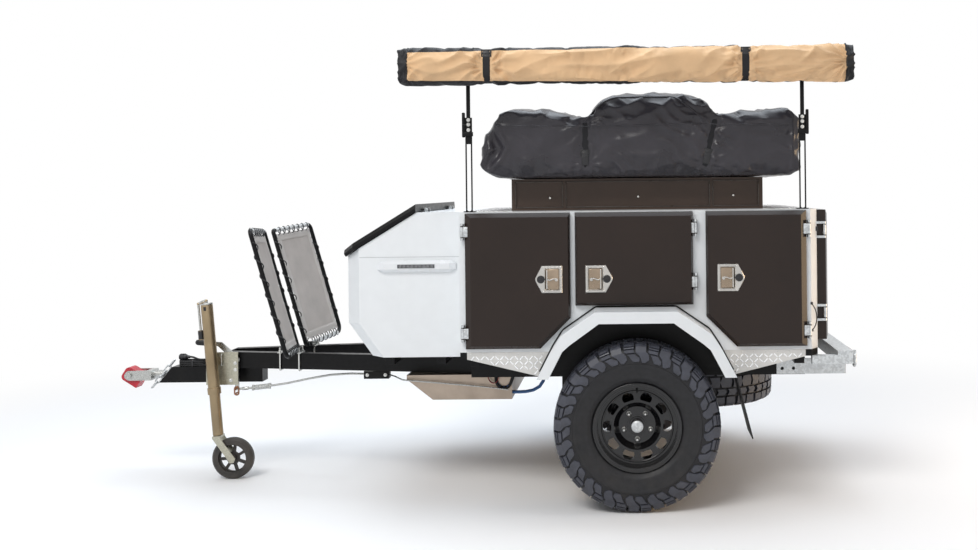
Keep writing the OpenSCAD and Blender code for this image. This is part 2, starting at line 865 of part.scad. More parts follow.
module coupling_yoke() {
    arm_out = yoke_in + yoke_t;
    color("#A9ABAA") at_axle() {
        translate([-shaft_front_x, 0, shaft_z]) rotate([0, 90, 0])
            cylinder(r = shaft_r, h = shaft_out + shaft_in);
        cuboid(-yoke_base_x, yoke_base_len - yoke_base_x, -arm_out, arm_out,
            shaft_z - yoke_end_r, shaft_z + yoke_end_r);
        both_sides() {
            cuboid(-yoke_front_x, yoke_base_len - yoke_base_x, -arm_out, -yoke_in,
                shaft_z - yoke_end_r, shaft_z + yoke_end_r);
            round_bar_y(yoke_end_r, -yoke_front_x, shaft_z, -arm_out, -yoke_in);
            round_bar_y(bolt_head_r, -bolt_x, shaft_z, -arm_out - bolt_head_t, -arm_out);
        }
        round_bar_y(bolt_r, -bolt_x, shaft_z, -arm_out, arm_out);
    }
}

module block_outline() {
    translate([block_tip, 0]) square([block_len - block_tip, block_h]);
    translate([block_tip, block_tip]) circle(r = block_tip);
    translate([block_tip, block_h - block_tip]) circle(r = block_tip);
    translate([0, block_tip]) square([block_tip, block_h - 2*block_tip]);
}

module coupling_block() {
    color("#B5182F") at_axle() translate([-bolt_x, 0, shaft_z]) rotate([0, block_turn, 0])
        translate([-block_bolt_in, 0, -block_h/2]) difference() {
            side_plate(-block_half_w, block_half_w) block_outline();
            round_bar_y(bolt_r + fit_gap, block_bolt_in, block_h/2, -yoke_in, yoke_in);
            translate([block_pin_in, 0, -over]) cylinder(r = tow_pin_r, h = block_h + 2*over);
        }
}

// Safety chain: links that lie down the drawbar's slanted end

module chain_link() {
    for (s = [-1, 1]) {
        translate([s*chain_link_l/2, 0, 0]) rotate([0, 0, s*90 - 180]) rotate_extrude(angle = 180,
            $fn = 24) translate([chain_link_w, 0]) circle(r = chain_wire_r, $fn = 16);
        translate([-chain_link_l/2, s*chain_link_w, 0]) rotate([0, 90, 0])
            cylinder(r = chain_wire_r, h = chain_link_l, $fn = 16);
    }
}

module safety_chain() {
    slant = atan2(beam_w, beam_cut);
    pitch = chain_link_l + 2*chain_link_w - 2*chain_wire_r;
    color(galvanised) at_axle()
        translate([beam_cut - beam_front_x, -chain_y, beam_top_z])
            rotate([0, -slant, 0]) for (i = [0:chain_links - 1])
                translate([chain_tail - i*pitch, 0, chain_wire_r + chain_link_w + fit_gap])
                    rotate([i%2*90, 0, 0]) chain_link();
}

// Jockey wheel

module jack_frame() {
    at_axle() translate([-jack_pivot_x, -jack_y, jack_pivot_z]) rotate([0, -jack_lean, 0]) children();
}

module jack_bracket() {
    pin_end = jack_y - jack_tube_r - over;
    color(olive_zinc) at_axle() {
        cuboid(-jack_pivot_x - jack_arm_w/2, jack_arm_w/2 - jack_pivot_x, -jack_plate_y, -beam_w/2,
            beam_top_z - over - jack_arm_h, beam_top_z - over);
        cuboid(-jack_plate_x0, -jack_plate_x1, -jack_plate_y - jack_plate_t, -jack_plate_y,
            jack_plate_z0, jack_plate_z1);
        round_bar_y(jack_pin_r, -jack_pivot_x, jack_pivot_z, -pin_end, -jack_plate_y);
    }
}

module jack_tube() {
    sleeve = jack_y - jack_plate_y - jack_plate_t - over;
    color(olive_zinc) jack_frame() {
        difference() {
            union() {
                translate([0, 0, -jack_low]) cylinder(r = jack_tube_r, h = jack_low + jack_top);
                translate([0, 0, -jack_low]) cylinder(r = jack_collar_r, h = jack_collar_h);
                round_bar_y(jack_sleeve_r, 0, 0, 0, sleeve);
            }
            translate([0, 0, -jack_low - over])
                cylinder(r = jack_tube_r - jack_wall, h = jack_low + over + jack_top - jack_cap_h);
            round_bar_y(jack_pin_r + play, 0, 0, jack_tube_r, sleeve + over);
        }
        translate([0, 0, jack_top]) cylinder(r = crank_r, h = jack_cap_h);
        tube_between([0, 0, jack_top + jack_cap_h], [-crank_out, 0, jack_top], crank_r);
        tube_between([-crank_out, 0, jack_top], [-crank_out, 0, jack_top - crank_drop], crank_r);
        translate([-crank_out, 0, jack_top]) sphere(r = crank_elbow_r);
        translate([0, 0, jack_top + jack_cap_h]) sphere(r = crank_elbow_r);
        translate([-crank_out, 0, jack_top - crank_drop - crank_knob_len])
            cylinder(r = crank_knob_r, h = crank_knob_len);
    }
}

module jack_leg() {
    color("#9A9478") jack_frame() difference() {
        translate([0, 0, -jack_leg_low]) cylinder(r = jack_leg_r, h = jack_leg_low - jack_leg_top);
        translate([0, 0, -jack_leg_low - over]) cylinder(r = stem_r + play, h = stem_len + over);
    }
}

module jack_fork() {
    crown_z = -jack_leg_low - fork_gap - fork_crown_h;
    color(olive_zinc) jack_frame() {
        translate([0, 0, crown_z])
            cylinder(r = stem_r, h = fork_crown_h + fork_gap + stem_len*stem_in_share);
        translate([-fork_cheek_r, -fork_half_w - fork_t, crown_z])
            cube([2*fork_cheek_r, 2*(fork_half_w + fork_t), fork_crown_h]);
        for (y = [-fork_half_w - fork_t, fork_half_w]) side_plate(y, y + fork_t)
            polygon([[-fork_cheek_r, crown_z], [fork_cheek_r, crown_z],
                [jack_trail + fork_cheek_r, -jack_wheel_drop],
                [jack_trail + fork_cheek_r/2, -jack_wheel_drop - fork_cheek_r],
                [jack_trail - fork_cheek_r/2, -jack_wheel_drop - fork_cheek_r],
                [jack_trail - fork_cheek_r, -jack_wheel_drop]]);
        round_bar_y(fork_axle_r, jack_trail, -jack_wheel_drop, -fork_half_w, fork_half_w);
    }
}

// Window between two spokes of even width
module jack_window() {
    half = 180/jack_windows;
    inner = jack_window_in_r*tan(half) - jack_spoke_w/2/cos(half);
    outer = jack_window_out_r*tan(half) - jack_spoke_w/2/cos(half);
    intersection() {
        polygon([[jack_window_in_r, -inner], [jack_window_out_r, -outer], [jack_window_out_r, outer],
            [jack_window_in_r, inner]]);
        circle(r = jack_window_out_r);
    }
}

module jack_wheel() {
    color("#6B5C4C") jack_frame() translate([jack_trail, 0, -jack_wheel_drop]) rotate([90, 0, 0])
        difference() {
            union() {
                rotate_extrude($fn = 72) polygon([[jack_rim_r, -jack_tyre_w/2],
                    [jack_wheel_r - fork_crown_h, -jack_tyre_w/2], [jack_wheel_r, -jack_tyre_w/4],
                    [jack_wheel_r, jack_tyre_w/4], [jack_wheel_r - fork_crown_h, jack_tyre_w/2],
                    [jack_rim_r, jack_tyre_w/2]]);
                translate([0, 0, -jack_web_t/2]) cylinder(r = jack_rim_r + over, h = jack_web_t);
                translate([0, 0, -jack_hub_w/2]) cylinder(r = jack_hub_r, h = jack_hub_w);
            }
            for (i = [0:jack_windows - 1]) rotate([0, 0, i*360/jack_windows])
                translate([0, 0, -jack_web_t]) linear_extrude(2*jack_web_t) jack_window();
            translate([0, 0, -jack_hub_w]) cylinder(r = fork_axle_r + play, h = 2*jack_hub_w);
        }
}

// Handbrake lever behind the jockey wheel's plate
module handbrake_lever() {
    half = lever_arm_w/2;
    color("#8C6F4E") at_axle() translate([-lever_pivot_x, -lever_y - lever_t, lever_pivot_z]) {
        side_plate(0, lever_t) polygon([[-half, -lever_drop], [half, -lever_drop], [half, half],
            [half - lever_rise_x, lever_rise_z + half], [-lever_grip_x, lever_grip_z + half],
            [-lever_grip_x, lever_grip_z - half], [-lever_rise_x - half, lever_rise_z - half],
            [-half, -half]]);
        round_bar_y(lever_boss_r, 0, 0, lever_t + lever_y - jack_plate_y, lever_t);
    }
}

// Brake rod and cable with the clamp block under the left rail
module brake_cable() {
    color("#8A8A88") at_axle() {
        swept_tube(brake_route, brake_rod_r, lead_sides);
        swept_tube(brake_rear_route, brake_cable_r, lead_sides);
        cuboid(-clamp_x0, -clamp_x1, -clamp_y - clamp_w/2, clamp_w/2 - clamp_y,
            rail_z - clamp_h - fit_gap, rail_z - fit_gap);
    }
}

// Rock guard: two swept screens that lean forward on the A-frame

module guard_frame_at(side) {
    at_axle() translate([-guard_x, 0, guard_z]) rotate([0, -guard_lean, 0])
        rotate([0, 0, side*(90 - guard_sweep)]) children();
}

module rock_guard_frame() {
    color(frame_black) {
        for (side = [-1, 1]) guard_frame_at(side) {
            for (z = [0, guard_h]) translate([guard_in, 0, z]) rotate([0, 90, 0])
                cylinder(r = guard_tube_r, h = guard_w - guard_in);
            for (x = [guard_in, guard_w]) translate([x, 0, 0]) cylinder(r = guard_tube_r, h = guard_h);
            for (x = [guard_in, guard_w], z = [0, guard_h]) translate([x, 0, z]) sphere(r = guard_tube_r);
        }
    }
}

module rock_guard_screens() {
    edge = guard_tube_r + fit_gap;
    color("#B5AFAB") for (side = [-1, 1]) guard_frame_at(side)
        translate([guard_in + edge, -guard_screen_t/2, edge])
            cube([guard_w - guard_in - 2*edge, guard_screen_t, guard_h - 2*edge]);
}

// Nose box

function nose_plan(inset, back) = let (half = nose_half_w - inset, x = back + inset - nose_front,
        c = nose_chamfer - inset*corner_inset_share) [
    [x, c - half], [x, half - c], [x + c, half], [-body_front, half], [-body_front, -half],
    [x + c, -half]];

module nose_volume(inset) {
    low = nose_low_z + inset;
    hull() {
        translate([0, 0, nose_face_low_z]) linear_extrude(over) polygon(nose_plan(inset, 0));
        translate([0, 0, low]) linear_extrude(over) polygon(nose_plan(inset, nose_slant));
    }
    translate([0, 0, nose_face_low_z]) linear_extrude(body_top_z - nose_face_low_z)
        polygon(nose_plan(inset, 0));
}

// The space above the slope that the lid closes
module above_slope() {
    side_plate(-nose_half_w - over, nose_half_w + over) polygon([
        [-nose_front - over, nose_face_top_z - over*tan(lid_slope)], [-nose_flat_x, body_top_z],
        [-nose_flat_x, body_top_z + over], [-nose_front - over, body_top_z + over]]);
}

module nose_box() {
    color(white) at_axle() difference() {
        nose_volume(0);
        above_slope();
        difference() {
            nose_volume(nose_wall);
            cuboid(-nose_flat_x - nose_wall, over - body_front, -nose_half_w, nose_half_w,
                body_top_z - wall_t, body_top_z + over);
        }
    }
}

module nose_lights() {
    half = light_len/2;
    side = [[-half, light_end/2], [light_end - half, light_h/2], [half - light_end, light_h/2],
        [half, light_end/2]];
    outline = concat(side, [for (i = [len(side) - 1:-1:0]) [side[i].x, -side[i].y]]);
    color("#DDE0E2") at_axle() both_sides()
        translate([-light_mid_x, -nose_half_w - fit_gap, light_z]) {
            hull() {
                side_plate(-light_end/4, 0) polygon(outline);
                side_plate(-light_t, 0) square([light_len - 2*light_end, light_h/2], center = true);
            }
            cuboid(-light_window_len/2, light_window_len/2, -light_t - light_window_t, -light_t,
                -light_window_h/2, light_window_h/2);
        }
}

// Lid's outline in its own frame: the slope's top edge at the origin, X down the slope
function lid_plan(inset) = let (half = nose_half_w + lid_over - inset, run = lid_run + lid_over - inset,
        c = nose_chamfer) [
    [-lid_t, -half], [run - c, -half], [run, c - half], [run, half - c], [run - c, half], [-lid_t, half]];

module nose_lid() {
    rear_cut = lid_hinge_reach - lid_hinge_set;
    half = nose_half_w + lid_over;
    color(door_black) at_axle() difference() {
        union() {
            intersection() {
                translate([-nose_flat_x, 0, body_top_z]) rotate([0, 180 - lid_slope, 0])
                    rotate([180, 0, 0]) translate([0, 0, lid_gap]) hull() {
                        linear_extrude(lid_t/2) polygon(lid_plan(0));
                        linear_extrude(lid_t) polygon(lid_plan(lid_over));
                    }
                cuboid(-nose_front - nose_len, -nose_flat_x - rear_cut, -half - over, half + over,
                    rail_z, body_top_z + nose_len);
            }
            for (y = lid_hinge_ys) translate([-lid_hinge_x, y, lid_hinge_z]) rotate([-90, 0, 0])
                knuckle(-1, lid_hinge_reach);
        }
        for (y = lid_hinge_ys) translate([-lid_hinge_x, y, lid_hinge_z]) rotate([-90, 0, 0])
            knuckle_bore();
    }
}

// Hinges

module knuckle(dir, reach) {
    cylinder(r = knuckle_r, h = knuckle_len, center = true);
    x1 = reach + leaf_in;
    translate([dir > 0 ? 0 : -x1, -leaf_t/2, -knuckle_len/2]) cube([x1, leaf_t, knuckle_len]);
}

module knuckle_bore() {
    cylinder(r = pin_r + play, h = knuckle_len + 2*over, center = true);
}

// Two lugs and a pin, with the wall at the given reach along Y
module hinge_lugs(reach) {
    lug_z = knuckle_len/2 + lug_gap;
    for (z = [lug_z, -lug_z - lug_t]) translate([0, 0, z]) {
        cylinder(r = knuckle_r, h = lug_t);
        translate([-knuckle_r, 0, 0]) cube([2*knuckle_r, reach, lug_t]);
    }
    cylinder(r = pin_r, h = 2*lug_z + lug_t, center = true);
}

function hinge_x(d) = d[4] < 0 ? d[0] - hinge_reach : d[1] + hinge_reach;

module door_hinges() {
    color(galvanised) at_axle() {
        both_sides() for (d = SIDE_DOORS, z = d[6])
            translate([hinge_x(d), -hinge_y, z]) hinge_lugs(hinge_y - body_half_w);
        for (z = rear_hinge_zs) translate([rear_hinge_x, -rear_hinge_y, z]) rotate([0, 0, 90])
            hinge_lugs(rear_hinge_x - body_rear);
        for (y = lid_hinge_ys) translate([-lid_hinge_x, y, lid_hinge_z]) rotate([-90, 0, 0])
            hinge_lugs(lid_hinge_rise);
    }
}

// Side doors

// Outline of a door, set in by the given amounts at the front, rear, bottom and top
function door_outline(d, front, rear, low, top) = let (x0 = d[0] + front, x1 = d[1] - rear,
        z0 = d[2] + low, z1 = door_top_z - top, c = d[3])
    d[5] > 0 ? [[x0, z0], [x1 - c, z0], [x1, z0 + c], [x1, z1], [x0, z1]]
    : d[5] < 0 ? [[x0 + c, z0], [x1, z0], [x1, z1], [x0, z1], [x0, z0 + c]]
    : [[x0, z0], [x1, z0], [x1, z1], [x0, z1]];

module side_door(d) {
    front = d[4] < 0 ? bevel_hinge : bevel_free;
    rear = d[4] > 0 && d[3] > 0 ? bevel_hinge : bevel_free;
    color(door_black) at_axle() difference() {
        union() {
            hull() {
                side_plate(-door_in_y - door_rim, -door_in_y) polygon(door_outline(d, 0, 0, 0, 0));
                side_plate(-door_out_y, -door_in_y)
                    polygon(door_outline(d, front, rear, bevel_low, bevel_top));
            }
            for (z = d[6]) translate([hinge_x(d), -hinge_y, z]) knuckle(-d[4], hinge_reach);
        }
        for (z = d[6]) translate([hinge_x(d), -hinge_y, z]) knuckle_bore();
    }
}

// Recessed folding handle on a plate with one pointed side
module latch_solid(point) {
    half_w = latch_w/2;
    half_h = latch_h/2;
    scale_x = point;
    side_plate(-latch_t, 0) polygon([[-scale_x*half_w, -half_h], [-scale_x*half_w, half_h],
        [scale_x*(half_w - latch_point), half_h], [scale_x*half_w, latch_point/2],
        [scale_x*half_w, -latch_point/2], [scale_x*(half_w - latch_point), -half_h]]);
    cuboid(-grip_w/2 - scale_x*latch_point/2, grip_w/2 - scale_x*latch_point/2, -latch_t - grip_t,
        -latch_t, -grip_h/2, grip_h/2);
    round_bar_y(lock_r, scale_x*(half_w - latch_point), 0, -latch_t - lock_t, -latch_t);
}

module side_latch(d) {
    color("#C9CBCC") at_axle() translate([d[7], -door_out_y - fit_gap, latch_z]) latch_solid(d[8]);
}

module front_door_left() { side_door(FRONT_DOOR); }
module mid_door_left() { side_door(MID_DOOR); }
module rear_side_door_left() { side_door(REAR_SIDE_DOOR); }
module front_latch_left() { side_latch(FRONT_DOOR); }
module mid_latch_left() { side_latch(MID_DOOR); }
module rear_side_latch_left() { side_latch(REAR_SIDE_DOOR); }
module front_door_right() { mirror([0, 1, 0]) side_door(FRONT_DOOR); }
module mid_door_right() { mirror([0, 1, 0]) side_door(MID_DOOR); }
module rear_side_door_right() { mirror([0, 1, 0]) side_door(REAR_SIDE_DOOR); }
module front_latch_right() { mirror([0, 1, 0]) side_latch(FRONT_DOOR); }
module mid_latch_right() { mirror([0, 1, 0]) side_latch(MID_DOOR); }
module rear_side_latch_right() { mirror([0, 1, 0]) side_latch(REAR_SIDE_DOOR); }

// Rear door

module rear_face_plate(x0, t) {
    translate([x0, 0, 0]) rotate([90, 0, 90]) linear_extrude(t) children();
}

module rear_door() {
    x0 = body_rear + door_gap;
    h = door_top_z - rear_door_low_z;
    color(door_black) at_axle() difference() {
        union() {
            hull() {
                rear_face_plate(x0, rear_door_t - door_rim) translate([-rear_door_half_w, rear_door_low_z])
                    square([2*rear_door_half_w, h]);
                rear_face_plate(x0, rear_door_t)
                    translate([bevel_hinge - rear_door_half_w, rear_door_low_z + bevel_low])
                        square([2*(rear_door_half_w - bevel_hinge), h - bevel_low - bevel_top]);
            }
            for (z = rear_hinge_zs) translate([rear_hinge_x, -rear_hinge_y, z]) rotate([0, 0, 90])
                knuckle(1, hinge_reach);
        }
        for (z = rear_hinge_zs) translate([rear_hinge_x, -rear_hinge_y, z]) knuckle_bore();
    }
}

module rear_latch() {
    x = body_rear + door_gap + rear_door_t + fit_gap;
    color("#C9CBCC") at_axle() translate([x, rear_latch_y, latch_z]) rotate([0, 0, 90])
        latch_solid(1);
}

// Body

// Half of the fender's line set in by an amount, from the foot to the top
function half_fender(inset) = [[fender_foot_half_w - inset, fender_foot_z],
    [fender_knee_half_w - inset, fender_knee_z],
    [fender_shoulder_half_w - inset*shoulder_in_shares.x, fender_shoulder_z - inset*shoulder_in_shares.y],
    [fender_top_half_w - inset*top_in_share, fender_top_z - inset]];

function fender_line(inset) = let (h = half_fender(inset))
    concat([for (p = h) [-p.x, p.y]], [for (i = [len(h) - 1:-1:0]) h[i]]);

module body_plan(half_w) {
    cut_y = corner_y - body_half_w + half_w;
    polygon([[-body_front, -half_w], [body_rear - corner_x, -half_w], [body_rear, cut_y - half_w],
        [body_rear, half_w - cut_y], [body_rear - corner_x, half_w], [-body_front, half_w]]);
}

// The wheel wells' outline, carried through the whole width outside the tubs
module wheel_wells(inset) {
    both_sides() side_plate(-body_half_w - over, -tub_y) polygon(fender_line(inset));
}

module floor_pan() {
    color(frame_black) at_axle() difference() {
        translate([0, 0, floor_low_z]) linear_extrude(floor_t) body_plan(floor_half_w);
        wheel_wells(fender_t);
    }
}

module side_wall() {
    color(white) at_axle() difference() {
        cuboid(-body_front, body_rear - corner_x, -body_half_w, wall_t - body_half_w, body_low_z,
            deck_low_z);
        for (d = SIDE_DOORS) side_plate(-body_half_w - over, wall_t + over - body_half_w)
            polygon(door_outline(d, door_lap, door_lap, door_lap, door_lap + wall_t));
        wheel_wells(fender_t);
    }
}

module side_wall_left() { side_wall(); }
module side_wall_right() { mirror([0, 1, 0]) side_wall(); }

module end_walls() {
    in_w = body_half_w - wall_t;
    rear_in = body_rear - wall_t;
    color(white) at_axle() {
        cuboid(-body_front, wall_t - body_front, -in_w, in_w, body_low_z, deck_low_z);
        difference() {
            translate([0, 0, body_low_z]) linear_extrude(deck_low_z - body_low_z) polygon([
                [body_rear - corner_x, -body_half_w], [body_rear, corner_y - body_half_w],
                [body_rear, body_half_w - corner_y], [body_rear - corner_x, body_half_w],
                [body_rear - corner_x, in_w], [rear_in, in_w - corner_y*post_in_share],
                [rear_in, corner_y*post_in_share - in_w], [body_rear - corner_x, -in_w]]);
            cuboid(rear_in - over, body_rear + over, -rear_open_half_w, rear_open_half_w,
                rear_door_low_z + door_lap, door_top_z - door_lap*2);
        }
    }
}

module top_deck() {
    color(white) at_axle() translate([0, 0, deck_low_z]) linear_extrude(wall_t) body_plan(body_half_w);
}

module wheel_tubs() {
    color(frame_black) at_axle() both_sides() {
        difference() {
            side_plate(wall_t - body_half_w, -tub_y) polygon(fender_line(fender_t));
            side_plate(-body_half_w, -tub_y - tub_t) polygon(fender_line(fender_t + tub_t));
            cuboid(-fender_foot_half_w, fender_foot_half_w, -body_half_w, -tub_y - tub_t,
                fender_foot_z - over, fender_foot_z);
        }
    }
}

module fenders() {
    color(white) at_axle() both_sides() difference() {
        side_plate(-fender_y, -body_half_w) polygon(fender_line(0));
        side_plate(fender_t - fender_y, over - body_half_w) polygon(fender_line(fender_t));
        side_plate(-fender_y - over, over - body_half_w) polygon(fender_line(fender_lip));
        cuboid(-fender_foot_half_w - over, fender_foot_half_w + over, -fender_y - over,
            over - body_half_w, fender_foot_z - over, fender_foot_z);
    }
}

module sill_plates() {
    front = body_front - sill_front_low;
    leg = fender_foot_half_w + sill_foot_in;
    shoulder = fender_knee_half_w + sill_foot_in*2;
    top = body_low_z - fit_gap;
    low = body_low_z - sill_front_low;
    color("#C9CCCE") at_axle() both_sides() side_plate(-body_half_w, sill_t - body_half_w)
        for (s = [-1, 1]) polygon([[s*front, top], [s*front, low], [s*leg, sill_foot_z],
            [s*shoulder, top]]);
}

module mud_flaps() {
    color("#19191A") at_axle() both_sides()
        translate([fender_foot_half_w - fender_t, 0, fender_foot_z - fit_gap - flap_t*sin(flap_lean)])
            rotate([0, -flap_lean, 0]) translate([0, flap_in - fender_y, -flap_len])
                cube([flap_t, fender_y - body_half_w - 2*flap_in, flap_len]);
}

// Suspension: hangers, trailing arms, air bags and stub axles, fixed at ride height
module suspension() {
    arm_out = -arm_y - arm_w;
    color(frame_black) at_axle() both_sides() {
        side_plate(arm_out, -arm_y) polygon([[-arm_pivot_x, arm_pivot_z - arm_boss_r],
            [0, axle_z - arm_end_r], [0, axle_z + arm_end_r], [-arm_pivot_x, arm_pivot_z + arm_boss_r]]);
        round_bar_y(arm_boss_r, -arm_pivot_x, arm_pivot_z, arm_out, -arm_y);
        round_bar_y(arm_end_r, 0, axle_z, arm_out, -arm_y);
        round_bar_y(hanger_bolt_r, -arm_pivot_x, arm_pivot_z, -hanger_y1, -main_rail_y);
        for (y = [-main_rail_y - hanger_t, -hanger_y1])
            cuboid(-arm_pivot_x - hanger_half_l, hanger_half_l - arm_pivot_x, y, y + hanger_t,
                hanger_low_z, hanger_top_z);
        cuboid(-arm_pivot_x - hanger_half_l, hanger_half_l - arm_pivot_x, -hanger_y1, -main_rail_y,
            hanger_top_z - hanger_t, hanger_top_z);
        translate([-bag_x, -bag_y, axle_z]) cylinder(r = bag_r, h = bag_seat_z - axle_z);
        cuboid(-bag_x - bag_r, bag_r - bag_x, -bag_y - bag_r, -main_rail_y, bag_seat_z,
            bag_seat_z + bag_seat_t);
        round_bar_y(stub_r, 0, axle_z, -wheel_y - disc_face_w - disc_t, arm_out);
    }
}

module tank_guard() {
    color("#9E8E7E") at_axle() side_plate(-tank_half_w, tank_half_w) polygon([[-tank_x0, rail_z - fit_gap],
        [-tank_x0, tank_z + tank_cut_z], [tank_cut_x - tank_x0, tank_z], [-tank_x1, tank_z],
        [-tank_x1, rail_z - fit_gap]]);
}

module hoses() {
    color("#2E5A8C") at_axle() {
        swept_tube(blue_hose_route, blue_hose_r, lead_sides);
        swept_tube(black_hose_route, black_hose_r, lead_sides);
    }
}

// Rear bumper with its mounting plates and shackles

module shackles() {
    color(galvanised) at_axle() both_sides()
        translate([bumper_rear + lug_out/2, -lug_y, shackle_z]) {
            round_bar_y(shackle_pin_r, 0, 0, -shackle_bow_r, shackle_bow_r);
            for (y = [-shackle_bow_r, shackle_bow_r]) {
                translate([0, y, -shackle_leg]) cylinder(r = shackle_wire_r, h = shackle_leg);
                translate([0, y, 0]) sphere(r = shackle_eye_r);
            }
            translate([0, 0, -shackle_leg]) rotate([90, 0, 90]) rotate([0, 0, 180])
                rotate_extrude(angle = 180) translate([shackle_bow_r, 0]) circle(r = shackle_wire_r);
        }
}

module rear_bumper() {
    top = bumper_low_z + bumper_h;
    front = bumper_rear - bumper_d;
    color(galvanised) at_axle() {
        cuboid(front, bumper_rear, -bumper_half_w, bumper_half_w, bumper_low_z, top);
        both_sides() {
            cuboid(bumper_return_x, front + over, -bumper_half_w, bumper_return_w - bumper_half_w,
                bumper_low_z, floor_low_z - fit_gap);
            difference() {
                cuboid(bumper_plate_x0, bumper_rear - over, -main_rail_y - bumper_plate_t, -main_rail_y,
                    bumper_plate_z, bumper_low_z + over);
                for (i = [0, 1]) round_bar_y(bumper_hole_r,
                    bumper_plate_x0 + bumper_hole_in + i*bumper_hole_pitch,
                    bumper_plate_z + bumper_hole_in, -main_rail_y - bumper_plate_t - over,
                    over - main_rail_y);
            }
            difference() {
                cuboid(bumper_rear - over, bumper_rear + lug_out, -lug_y - lug_thick/2,
                    lug_thick/2 - lug_y, bumper_low_z + fit_gap, top);
                round_bar_y(shackle_pin_r + fit_gap, bumper_rear + lug_out/2, shackle_z,
                    -lug_y - lug_thick, lug_thick - lug_y);
            }
        }
    }
}

module tail_lamps() {
    low = bumper_low_z + (bumper_h - lamp_h)/2;
    color("#A01C20") at_axle() both_sides() cuboid(bumper_rear + fit_gap, bumper_rear + lamp_t,
        -lamp_y0 - lamp_len, -lamp_y0, low, low + lamp_h);
}

// Roof

module riser_box() {
    h = riser_h - 2*riser_panel_in;
    color("#2B2422") at_axle() difference() {
        cuboid(riser_x0, riser_x0 + riser_len, -riser_half_w, riser_half_w, body_top_z,
            body_top_z + riser_h);
        both_sides() for (s = riser_panel_shares)
            cuboid(riser_x0 + s[0]*riser_len, riser_x0 + s[1]*riser_len, -riser_half_w - over,
                riser_recess - riser_half_w, body_top_z + riser_panel_in, body_top_z + riser_panel_in + h);
    }
}

// Tent bag: its length outline crossed with its rounded width outline
module tent_bag() {
    z = tent_z + fit_gap;
    color("#1A1A1C") at_axle() intersection() {
        side_plate(-tent_half_w, tent_half_w) polygon([for (s = tent_shares)
            [tent_x0 + s[0]*tent_len, z + s[1]*tent_h + s[2]*tent_hump_h]]);
        translate([tent_x0, 0, z]) rotate([90, 0, 90]) linear_extrude(tent_len)
            translate([-tent_half_w, 0]) round_rect(2*tent_half_w, tent_h + tent_hump_h, tent_edge_r);
    }
}

module awning_bag() {
    color("#C09158") at_axle() translate([awning_x0, -awning_y - awning_d/2, awning_z])
        rotate([90, 0, 90]) linear_extrude(awning_len) round_rect(awning_d, awning_h, awning_r);
}

module awning_posts() {
    back = awning_y - awning_d/2 - fit_gap;
    post_out = -post_y - post_t;
    top = awning_z + awning_h - upper_top_in;
    color(frame_black) at_axle() for (x = post_xs) {
        difference() {
            cuboid(x - post_w/2, x + post_w/2, post_out, -post_y, body_top_z, post_top_z);
            cuboid(x - post_slot_w/2, x + post_slot_w/2, post_out - over, over - post_y,
                body_top_z + post_slot_w/2, post_slot_z1);
            round_bar_y(post_slot_w/2, x, body_top_z + post_slot_w/2 + post_foot_h, post_out - over,
                over - post_y);
        }
        cuboid(x - post_foot_w/2, x + post_foot_w/2, -post_y, post_foot_d - post_y, body_top_z,
            body_top_z + post_foot_h);
        cuboid(x - upper_w/2, x + upper_w/2, post_out - post_t, post_out, upper_z0, top);
        cuboid(x - upper_w/2, x + upper_w/2, -back, post_out, awning_z + awning_r, top);
    }
}

// Free lead: gland on the A-frame's end plate, a short run, the coil on the drawbar and the plug

module lead_gland() {
    p = lead_route[0];
    color("#3A3A3C") at_axle() translate([-draw_front_x - end_plate_t - gland_len, p.y, p.z])
        rotate([0, 90, 0]) cylinder(r = gland_r, h = gland_len);
}

module lead_cable() { color("#161617") at_axle() swept_tube(lead_route, lead_r, lead_sides); }

module lead_coil() {
    r = coil_half_w;
    color("#161617") at_axle() translate([0, 0, beam_top_z + fit_gap]) linear_extrude(coil_h) {
        translate([coil_x0 + r, -r]) square([coil_x1 - coil_x0 - r, 2*r]);
        translate([coil_x0 + r, 0]) circle(r = r);
    }
}

module lead_plug() {
    color("#2A2A2C") at_axle()
        translate([coil_x0, 0, beam_top_z + coil_h + plug_r + 2*fit_gap])
            rotate([0, 90, 0]) cylinder(r = plug_r, h = plug_len);
}

chassis_frame();
coupling_yoke();
coupling_block();
safety_chain();
jack_bracket();
handbrake_lever();
brake_cable();
rock_guard_frame();
rock_guard_screens();
nose_box();
nose_lights();
floor_pan();
side_wall_left();
side_wall_right();
end_walls();
top_deck();
wheel_tubs();
fenders();
sill_plates();
mud_flaps();
door_hinges();
suspension();
tank_guard();
hoses();
spare_tyre();
spare_rim();
rear_bumper();
shackles();
tail_lamps();
riser_box();
tent_bag();
awning_bag();
awning_posts();
lead_gland();
lead_cable();
lead_coil();
lead_plug();
tyre_left();
rim_left();
tyre_right();
rim_right();
jack_tube();
jack_leg();
jack_fork();
jack_wheel();
front_door_left();
front_latch_left();
mid_door_left();
mid_latch_left();
rear_side_door_left();
rear_side_latch_left();
front_door_right();
front_latch_right();
mid_door_right();
mid_latch_right();
rear_side_door_right();
rear_side_latch_right();
rear_door();
rear_latch();
nose_lid();
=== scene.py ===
# %% [markdown]
# # An off-road camping trailer
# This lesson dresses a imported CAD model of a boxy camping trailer. The solids already have the
# right sizes and places, so each step either gives a solid a better finish, or makes a finer piece
# that stands for it. Everything is in metres, with X to the rear, Y to the right and Z up.

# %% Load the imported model
import json
import math

import bmesh
import bpy
import numpy as np
from mathutils import Matrix, Vector, noise
from mathutils.bvhtree import BVHTree

